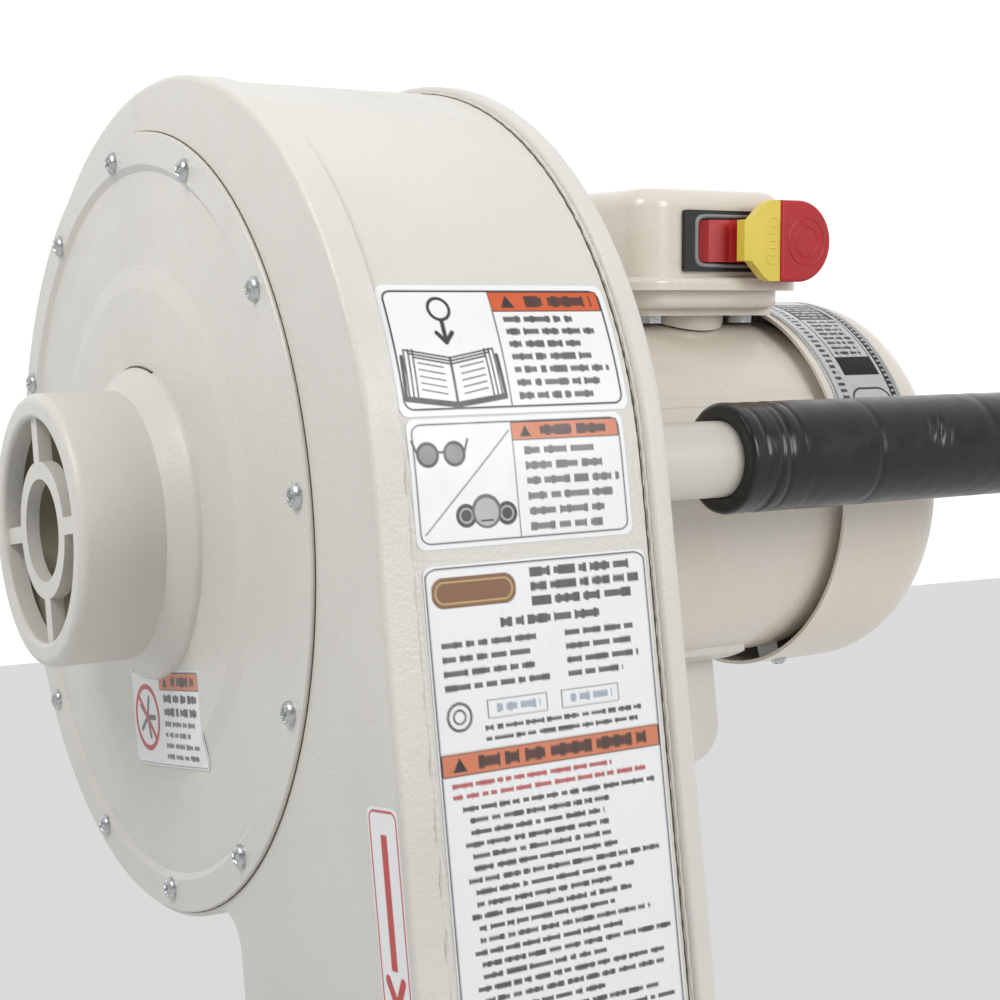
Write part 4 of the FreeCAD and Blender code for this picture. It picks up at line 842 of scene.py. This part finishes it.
def cover_screws():
    """Twelve pan heads, each a flattened dome with a cross recess.

    The dome's height is that of its middle times the square root of one minus the share of
    its radius to the power 3.2.  The recess is a soft step of the distance to the nearer of
    two arms, cut off at their ends.
    """
    share = np.concatenate([np.linspace(0, 0.9, 26), np.linspace(0.92, 1.0, 7)])[:, None]
    turn = full_turn(72)[None]
    a, b = SCREW_HEAD_R * share * np.cos(turn), SCREW_HEAD_R * share * np.sin(turn)
    arm = np.minimum(np.abs(a), np.abs(b))
    reach = np.maximum(np.abs(a), np.abs(b))
    recess = 1.5 * np.clip((0.78 - arm) / 0.35, 0, 1) * np.clip((2.5 - reach) / 0.6, 0, 1)
    height = SCREW_HEAD_H * np.sqrt(np.clip(1 - share ** 3.2, 0, 1)) - recess
    rng = np.random.default_rng(18)
    for k, screw_turn in enumerate(rng.uniform(0, pi / 2, COVER_SCREWS)):
        c, s = np.cos(screw_turn), np.sin(screw_turn)
        middle = 2 * pi * k / COVER_SCREWS
        y = -COVER_SCREW_CIRCLE_R * np.sin(middle) + a * c - b * s
        z = COVER_SCREW_CIRCLE_R * np.cos(middle) + a * s + b * c
        points = place(-np.maximum(height, 0.0), y, z)
        head = surface(f"cover_screw_{k + 1}", points, "root", zinc, loop_columns=True)
        if k == 0:
            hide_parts("cover_plate_screws")


def shell_seam():
    """Lock seam along the motor shell: a low flat rib whose section is a rounded step."""
    x = np.linspace(123.0, 276.0, 120)[:, None]
    across = np.linspace(-1, 1, 13)
    turn = np.radians(65.6) + across * 2.3 / SHELL_R
    r = SHELL_R - 0.1 + 0.55 * (1 - across ** 8) * np.ones_like(x)
    points = place(x * np.ones_like(across), -r * np.sin(turn), r * np.cos(turn))
    surface("shell_seam", points, "root", enamel)


def cap_ring():
    """Two raised plain rings, one inside the other, moulded on the red cap."""
    turn = full_turn(72)[:, None]
    around = full_turn(10)
    for name, ring_r, thick in (("cap_ring", 9.8, 0.5), ("cap_inner_ring", 6.2, 0.4)):
        r = ring_r + thick * np.cos(around)
        y = BOX_FRONT_Y - 16.6 - thick * 0.55 * np.sin(around) * np.ones_like(turn)
        points = place(*lean(CAP_X + 3.6 + r * np.sin(turn), y, SWITCH_Z + r * np.cos(turn)))
        face_outward(surface(name, points, "key", parts["red"], True, True))


def key_outline():
    """Raised racetrack and five short ribs moulded on the yellow paddle."""
    turn = full_turn(96)[:, None]
    around = full_turn(8)
    stretch = (np.abs(np.cos(turn)) ** 5 + np.abs(np.sin(turn)) ** 5) ** 0.2
    x = KEY_X + np.cos(turn) / stretch * (3.4 + 0.32 * np.cos(around))
    z = SWITCH_Z + np.sin(turn) / stretch * (9.4 + 0.32 * np.cos(around))
    y = KEY_FRONT_Y - 0.25 * np.sin(around) * np.ones_like(turn)
    points = place(*lean(x, y, z))
    face_outward(surface("key_outline", points, "key", parts["yellow"], True, True))
    for k in range(5):
        path = place(*lean(np.linspace(KEY_X - 1.8, KEY_X + 1.8, 12), KEY_FRONT_Y, SWITCH_Z - 6 + 3 * k))
        bead(f"key_rib_{k + 1}", path, 0.34, "key", parts["yellow"], 19, 0.0)


def bezel_frame():
    """Grey inner frame of the switch: a rounded section carried round a rectangle."""
    half_x, half_z = 16.2, 10.2
    turn = full_turn(96)
    stretch = np.abs(np.cos(turn)) ** 8 + np.abs(np.sin(turn)) ** 8
    unit_x, unit_z = np.cos(turn) / stretch ** 0.125, np.sin(turn) / stretch ** 0.125
    around = full_turn(8)[:, None]
    x = SWITCH_X + unit_x * (half_x + 0.8 * np.cos(around))
    z = SWITCH_Z + unit_z * (half_z + 0.8 * np.cos(around))
    y = BOX_FRONT_Y - 2.4 - 0.8 * np.sin(around) * np.ones_like(turn)
    points = place(*lean(x, y, z))
    face_outward(surface("bezel_frame", points, "root", parts["grey"], True, True))


# ---------- grip

# place along the grip, depth, width and slant of each crease, in millimetres
GRIP_CREASES = [
    (6.0, 0.5, 1.0, 1.2), (10.0, 0.8, 1.1, -1.0), (14.0, 0.75, 1.0, 1.3),
    (18.5, 0.6, 1.2, 0.6), (23.5, 0.5, 1.2, -1.4), (30.0, 0.25, 1.8, 1.0),
    (61.0, 0.32, 1.5, 1.5), (121.0, 0.25, 2.4, 2.0), (166.0, 0.30, 2.2, 1.0)]


def foam_grip():
    """Foam sleeve on the handle.

    Its outline runs out of the bore, over the flat end, round the rim, along the outside and
    back at the far end.  The outside is drawn in by creases, each a bell-shaped groove that
    slants and fades round the sleeve, and waves by ripples; the flat ends swell unevenly.
    """
    length = GRIP_X1 - GRIP_X0
    rim = 1.9
    arc = np.linspace(0, pi / 2, 8)
    outside = np.linspace(rim, length - rim, 560)
    along = np.concatenate([[3.0, 0.6, 0.0], rim - rim * np.cos(arc), outside,
                            length - rim + rim * np.sin(arc), [length, length - 0.6, length - 3.0]])
    radius = np.concatenate([[TUBE_R + 0.05, TUBE_R + 0.1, TUBE_R + 1.1], GRIP_R - rim + rim * np.sin(arc),
                             np.full(560, GRIP_R), GRIP_R - rim + rim * np.cos(arc),
                             [TUBE_R + 1.1, TUBE_R + 0.1, TUBE_R + 0.05]])
    along, radius = along[:, None], radius[:, None]
    turn = full_turn(144)[None]
    sunk = np.zeros(np.broadcast(along, turn).shape)
    for k, (middle, depth, width, slant) in enumerate(GRIP_CREASES):
        bend = middle + slant * np.sin(turn + k) + 0.5 * np.sin(3 * turn + 2 * k)
        fade = 0.45 + 0.55 * np.cos(turn + 1.7 * k)
        sunk = sunk + depth * np.clip(fade, 0.05, 1) * np.exp(-((along - bend) / width) ** 2)
    sunk = sunk + 0.12 * (1 + ripple(along / 14.0, 2 * np.cos(turn) + np.sin(turn), 11, 8))
    pinch_along, pinch_turn = along - 92.0, turn - 1.35
    pinch = np.exp(-(pinch_along / 5.0) ** 2 - (pinch_turn / 0.22) ** 2)
    sunk = sunk + 0.9 * pinch * (0.5 + 0.5 * np.sin(pinch_along * 1.3 + 9.0 * pinch_turn))
    outer = np.clip((radius - TUBE_R) / (GRIP_R - TUBE_R), 0, 1) ** 2
    flat_end = np.exp(-along / 0.8)
    sunk = sunk - 0.35 * flat_end * ripple(3.1 * radius + 4 * np.cos(turn), 5 * np.sin(turn), 13, 9)
    near_end = np.exp(-np.minimum(along, length - along) / 3.0)
    uneven = 0.9 * ripple(2 * np.cos(turn), 2 * np.sin(turn), 12) * near_end
    r = radius - outer * np.clip(sunk, 0, 1.4)
    x = GRIP_X0 + along + np.clip(uneven, 0, 1) * outer
    points = place(x, GRIP_Y - r * np.sin(turn), GRIP_Z + r * np.cos(turn))
    grip = face_outward(surface("foam_grip", points, "root", foam, loop_columns=True))
    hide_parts("handle_grip")


# ---------- bag

# share of the run down the cloth, radius and height of each knot
BAG_KNOTS = np.array([
    (0.0, 68.6, -190.5), (0.035, 68.6, -228.0), (0.055, 70.0, -238.0), (0.10, 98.0, -252.0),
    (0.17, 142.0, -292.0), (0.24, 160.0, -330.0), (0.32, 165.0, -375.0), (0.50, 166.0, -500.0),
    (0.72, 165.0, -680.0), (0.86, 160.0, -782.0), (0.93, 146.0, -824.0), (0.965, 128.0, -836.0)]).T
NECK_Z = -238.0
BAG_MIDDLE_Z = -500.0
CLOTH_THICK = 1.4
CRUMPLE_LIMIT = 9.0


def bag_shape(rows, columns):
    """Filled bag: radius and height follow a few knots down the cloth, joined smoothly.

    Gathers under the band are a cosine of 26 waves round the neck that fade down the
    shoulder, long soft folds are ripples, and creases are the sharp zero lines of three more."""
    run = np.linspace(0, 0.965, rows)
    soft = np.hanning(9) / np.hanning(9).sum()
    padded_r = np.pad(np.interp(run, BAG_KNOTS[0], BAG_KNOTS[1]), 4, mode="edge")
    padded_z = np.pad(np.interp(run, BAG_KNOTS[0], BAG_KNOTS[2]), 4, mode="reflect", reflect_type="odd")
    radius = np.convolve(padded_r, soft, "valid")[:, None]
    z = np.convolve(padded_z, soft, "valid")[:, None]
    turn = full_turn(columns)[None]
    below = np.clip((COLLAR_BOTTOM - 1.0 - z) / 14.0, 0, 1)
    fade = below * np.exp(-np.clip(NECK_Z - z, 0, None) / 60.0)
    gather = 4.2 * fade * np.cos(26 * turn + 1.5 * np.sin(3 * turn))
    fold = 5.5 * below * ripple((z + 0 * turn) / 120.0, 2.2 * np.sin(turn) + 1.3 * np.cos(2 * turn), 21, 7)
    crease = np.zeros_like(fold)
    creases = ((22, 75.0, 2.6, 4.5), (23, 48.0, 4.0, 2.4), (24, 30.0, 6.0, 0.9))
    for seed, across, along, depth in creases:
        wave = ripple((z + 0 * turn) / across, along * np.sin(turn) + 1.7 * np.cos(turn), seed, 7)
        crease += depth * (1 - np.abs(np.clip(wave, -1, 1))) ** 7
    radius = radius + gather + fold + below * crease - 4.0 * below
    return radius, z, turn


def bag_points(radius, z, turn):
    return place(BAG_X + radius * np.cos(turn), BAG_Y + radius * np.sin(turn), z)


def thicken(piece, offset):
    """Gives a cloth its thickness, inwards at offset -1 and to both sides at 0."""
    solid = piece.modifiers.new("cloth_thickness", "SOLIDIFY")
    solid.thickness = CLOTH_THICK * MM
    solid.offset = offset


def filter_bag():
    """Cloth bag, blown a little and crumpled by a short cloth simulation.

    Gives back its cloth as a (rows, columns, 3) array of points for the trim to follow."""
    rows, columns = 120, 180
    points = bag_points(*bag_shape(rows, columns))
    bag = surface("cloth_bag", points, "root", cloth, loop_columns=True)
    start = np.empty(len(bag.data.vertices) * 3)
    bag.data.vertices.foreach_get("co", start)
    start = start.reshape(-1, 3)
    crumple(bag, start)
    face_bag(bag)
    thicken(bag, -1.0)
    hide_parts("filter_bag")
    settled = np.empty(rows * columns * 3)
    bag.data.vertices.foreach_get("co", settled)
    return settled.reshape(rows, columns, 3)


def face_bag(bag):
    """Turns the open cloth's faces away from its axis."""
    centre = Vector(place(BAG_X, BAG_Y, BAG_MIDDLE_Z))

    def turn_faces(work):
        work.normal_update()
        face = max(work.faces, key=lambda f: f.calc_center_median().x)
        if (face.calc_center_median() - centre).dot(face.normal) < 0:
            bmesh.ops.reverse_faces(work, faces=work.faces)

    rework(bag, turn_faces)


def crumple(bag, start):
    """Runs the cloth for 18 frames, held at the neck and the hem, and limits how far points move."""
    height = (start[:, 2] - SHAFT[2]) / MM
    held = np.clip(np.maximum((height + 232.0) / 8.0, (-826.0 - height) / 8.0), 0, 1)
    group = bag.vertex_groups.new(name="held")
    for level in np.unique(held[held > 0].round(2)):
        group.add(np.flatnonzero(np.isclose(held.round(2), level)).tolist(), float(level), "REPLACE")
    sim = bag.modifiers.new("cloth", "CLOTH")
    sim.settings.quality = 5
    sim.settings.mass = 0.25
    sim.settings.tension_stiffness = sim.settings.compression_stiffness = 12
    sim.settings.bending_stiffness = 0.6
    sim.settings.use_pressure = True
    sim.settings.uniform_pressure_force = 1.2
    sim.settings.shrink_min = -0.05
    sim.settings.vertex_group_mass = "held"
    sim.settings.effector_weights.gravity = 0.15
    sim.collision_settings.use_collision = False
    for number in range(1, 19):
        bpy.context.scene.frame_set(number)
    graph = bpy.context.evaluated_depsgraph_get()
    moved = np.empty_like(start).ravel()
    bag.evaluated_get(graph).data.vertices.foreach_get("co", moved)
    move = moved.reshape(-1, 3) - start
    size = np.linalg.norm(move, axis=1, keepdims=True)
    move = move * np.minimum(1, CRUMPLE_LIMIT * MM / np.maximum(size, 1e-9))
    bag.modifiers.remove(sim)
    bag.data.vertices.foreach_set("co", (start + move).ravel())
    bag.data.update()
    bpy.context.scene.frame_set(1)


def bag_bottom(settled):
    """Round bottom panel: a shallow dish with radial puckers, meeting the hem."""
    rows, columns = 40, settled.shape[1]
    turn = full_turn(columns)[None]
    share = np.linspace(1, 0, rows)[:, None]
    middle = place(BAG_X, BAG_Y, 0.0)
    rim = (np.hypot(*(settled[-1, :, :2] - middle[:2]).T) / MM)[None] + 1.0
    pucker = 1.6 * share ** 3 * np.cos(34 * turn + np.sin(4 * turn))
    sag = -838.5 - 2.4 * (1 - share ** 2) + pucker
    points = bag_points(rim * share, sag, turn)
    bottom = surface("bag_bottom", points, "root", cloth, loop_columns=True)
    thicken(bottom, 0.0)


def cloth_strip(path, width, thick, across, seed):
    """Folded seam tape: a flat rounded section carried along a closed or open path."""
    turn = full_turn(12)
    ahead = np.gradient(path, axis=0)
    ahead /= np.linalg.norm(ahead, axis=1, keepdims=True)
    out = np.cross(ahead, across)
    out /= np.linalg.norm(out, axis=1, keepdims=True)
    wave = 1 + 0.25 * ripple(np.linspace(0, len(path) / 3.0, len(path))[:, None], turn, seed)
    ring = (across[:, None] * (np.cos(turn) * width / 2)[None, :, None]
            + out[:, None] * (np.sin(turn) * thick / 2 * wave)[..., None])
    return path[:, None] + ring * MM


def bag_trim(settled):
    """Hem tape round the bottom and the upright seam tape down the user's side."""
    path = settled[-1] + (0.0, 0.0, -1.0 * MM)
    up = np.tile([0.0, 0.0, 1.0], (len(path), 1))
    hem = cloth_strip(path, 7.0, 3.4, up, 31)
    face_outward(surface("bag_hem", hem, "root", cloth, True, True))
    column = 3 * settled.shape[1] // 4
    path = settled[12:, column]
    across = np.tile([1.0, 0.0, 0.0], (len(path), 1))
    seam = cloth_strip(path, 9.0, 3.0, across, 32)
    face_outward(surface("bag_seam", seam, "root", cloth, loop_columns=True))


# ---------- setting


def soft_light(name, place_mm, target_mm, size, power):
    """White rectangular light at a place, pointed at a target, in millimetres from the shaft."""
    data = bpy.data.lights.new(name, "AREA")
    data.shape = "RECTANGLE"
    data.size, data.size_y = size
    data.energy = power
    light = bpy.data.objects.new(name, data)
    bpy.context.scene.collection.objects.link(light)
    here, there = Vector(place(*place_mm)), Vector(place(*target_mm))
    light.location = here
    light.rotation_euler = (there - here).to_track_quat("-Z", "Y").to_euler()


def setting():
    """Pale floor, pale surroundings that brighten towards the wall, and three soft lights."""
    finish = Finish("studio_floor", (0.74, 0.74, 0.74), 0.8, specular=0.1)
    finish.cloud(finish.noise(900, 2), 0.3, 0.7, 0.2, (0.71, 0.71, 0.71))
    finish.shader.inputs["Emission Color"].default_value = (1, 1, 1, 1)
    finish.shader.inputs["Emission Strength"].default_value = 0.18
    count = 9
    span = np.linspace(-FLOOR_REACH, FLOOR_REACH, count)
    points = place(*np.meshgrid(span, span, indexing="xy"), BAG_BOTTOM - FLOOR_DROP)
    mesh = bpy.data.meshes.new("studio_floor")
    index = np.arange(count * count).reshape(count, count)
    quads = np.stack([index[:-1, :-1], index[:-1, 1:], index[1:, 1:], index[1:, :-1]], axis=-1)
    mesh.from_pydata(points.reshape(-1, 3), [], quads.reshape(-1, 4))
    mesh.materials.append(finish.material)
    floor = bpy.data.objects.new("studio_floor", mesh)
    bpy.context.scene.collection.objects.link(floor)
    world = bpy.data.worlds.new("pale_room")
    world.use_nodes = True
    nodes, links = world.node_tree.nodes, world.node_tree.links
    toward = nodes.new("ShaderNodeVectorMath")
    toward.operation = "DOT_PRODUCT"
    toward.inputs[1].default_value = (0.50, 0.85, 0.12)
    links.new(nodes.new("ShaderNodeTexCoord").outputs["Generated"], toward.inputs[0])
    strength = map_range(nodes, links, toward.outputs["Value"], (-0.60, 0.85, 0.30, 1.10))
    nodes["Background"].inputs["Color"].default_value = (1.0, 1.0, 1.0, 1)
    links.new(strength, nodes["Background"].inputs["Strength"])
    bpy.context.scene.world = world
    soft_light("key_light", (600, -1600, 420), (100, -60, 0), (0.8, 0.8), 12.8)
    soft_light("top_light", (100, -500, 1500), (100, -60, 0), (1.3, 0.9), 0.4)
    soft_light("side_light", (-480, -260, 560), (0, 60, 60), (0.35, 0.35), 3.2)


def camera():
    """Looks up a little at the inlet side and the user's side from the left."""
    data = bpy.data.cameras.new("camera")
    data.sensor_width = 36.0
    data.lens = 65.56
    data.clip_start, data.clip_end = 0.01, 50.0
    eye = bpy.data.objects.new("camera", data)
    bpy.context.scene.collection.objects.link(eye)
    right = Vector((0.8502, -0.5192, -0.0878)).normalized()
    ahead = Vector((0.5233, 0.8515, 0.0323)).normalized()
    up = right.cross(ahead).normalized()
    right = ahead.cross(up)
    eye.matrix_world = Matrix((right, up, -ahead)).transposed().to_4x4()
    eye.location = Vector(place(-243.35, -653.21, -25.05))
    bpy.context.scene.camera = eye
    bpy.context.scene.view_settings.view_transform = "Standard"


dress_nodes()
for make in (manual_sticker, goggles_sticker, data_sticker, outlet_sticker, guard_sticker,
             rating_plate, housing_beads, plate_seam, band_lap, inlet_foot, bore_shade_lining,
             cover_screws, shell_seam, cap_ring, key_outline, bezel_frame, foam_grip,
             setting, camera):
    make()
settled_cloth = filter_bag()
bag_bottom(settled_cloth)
bag_trim(settled_cloth)
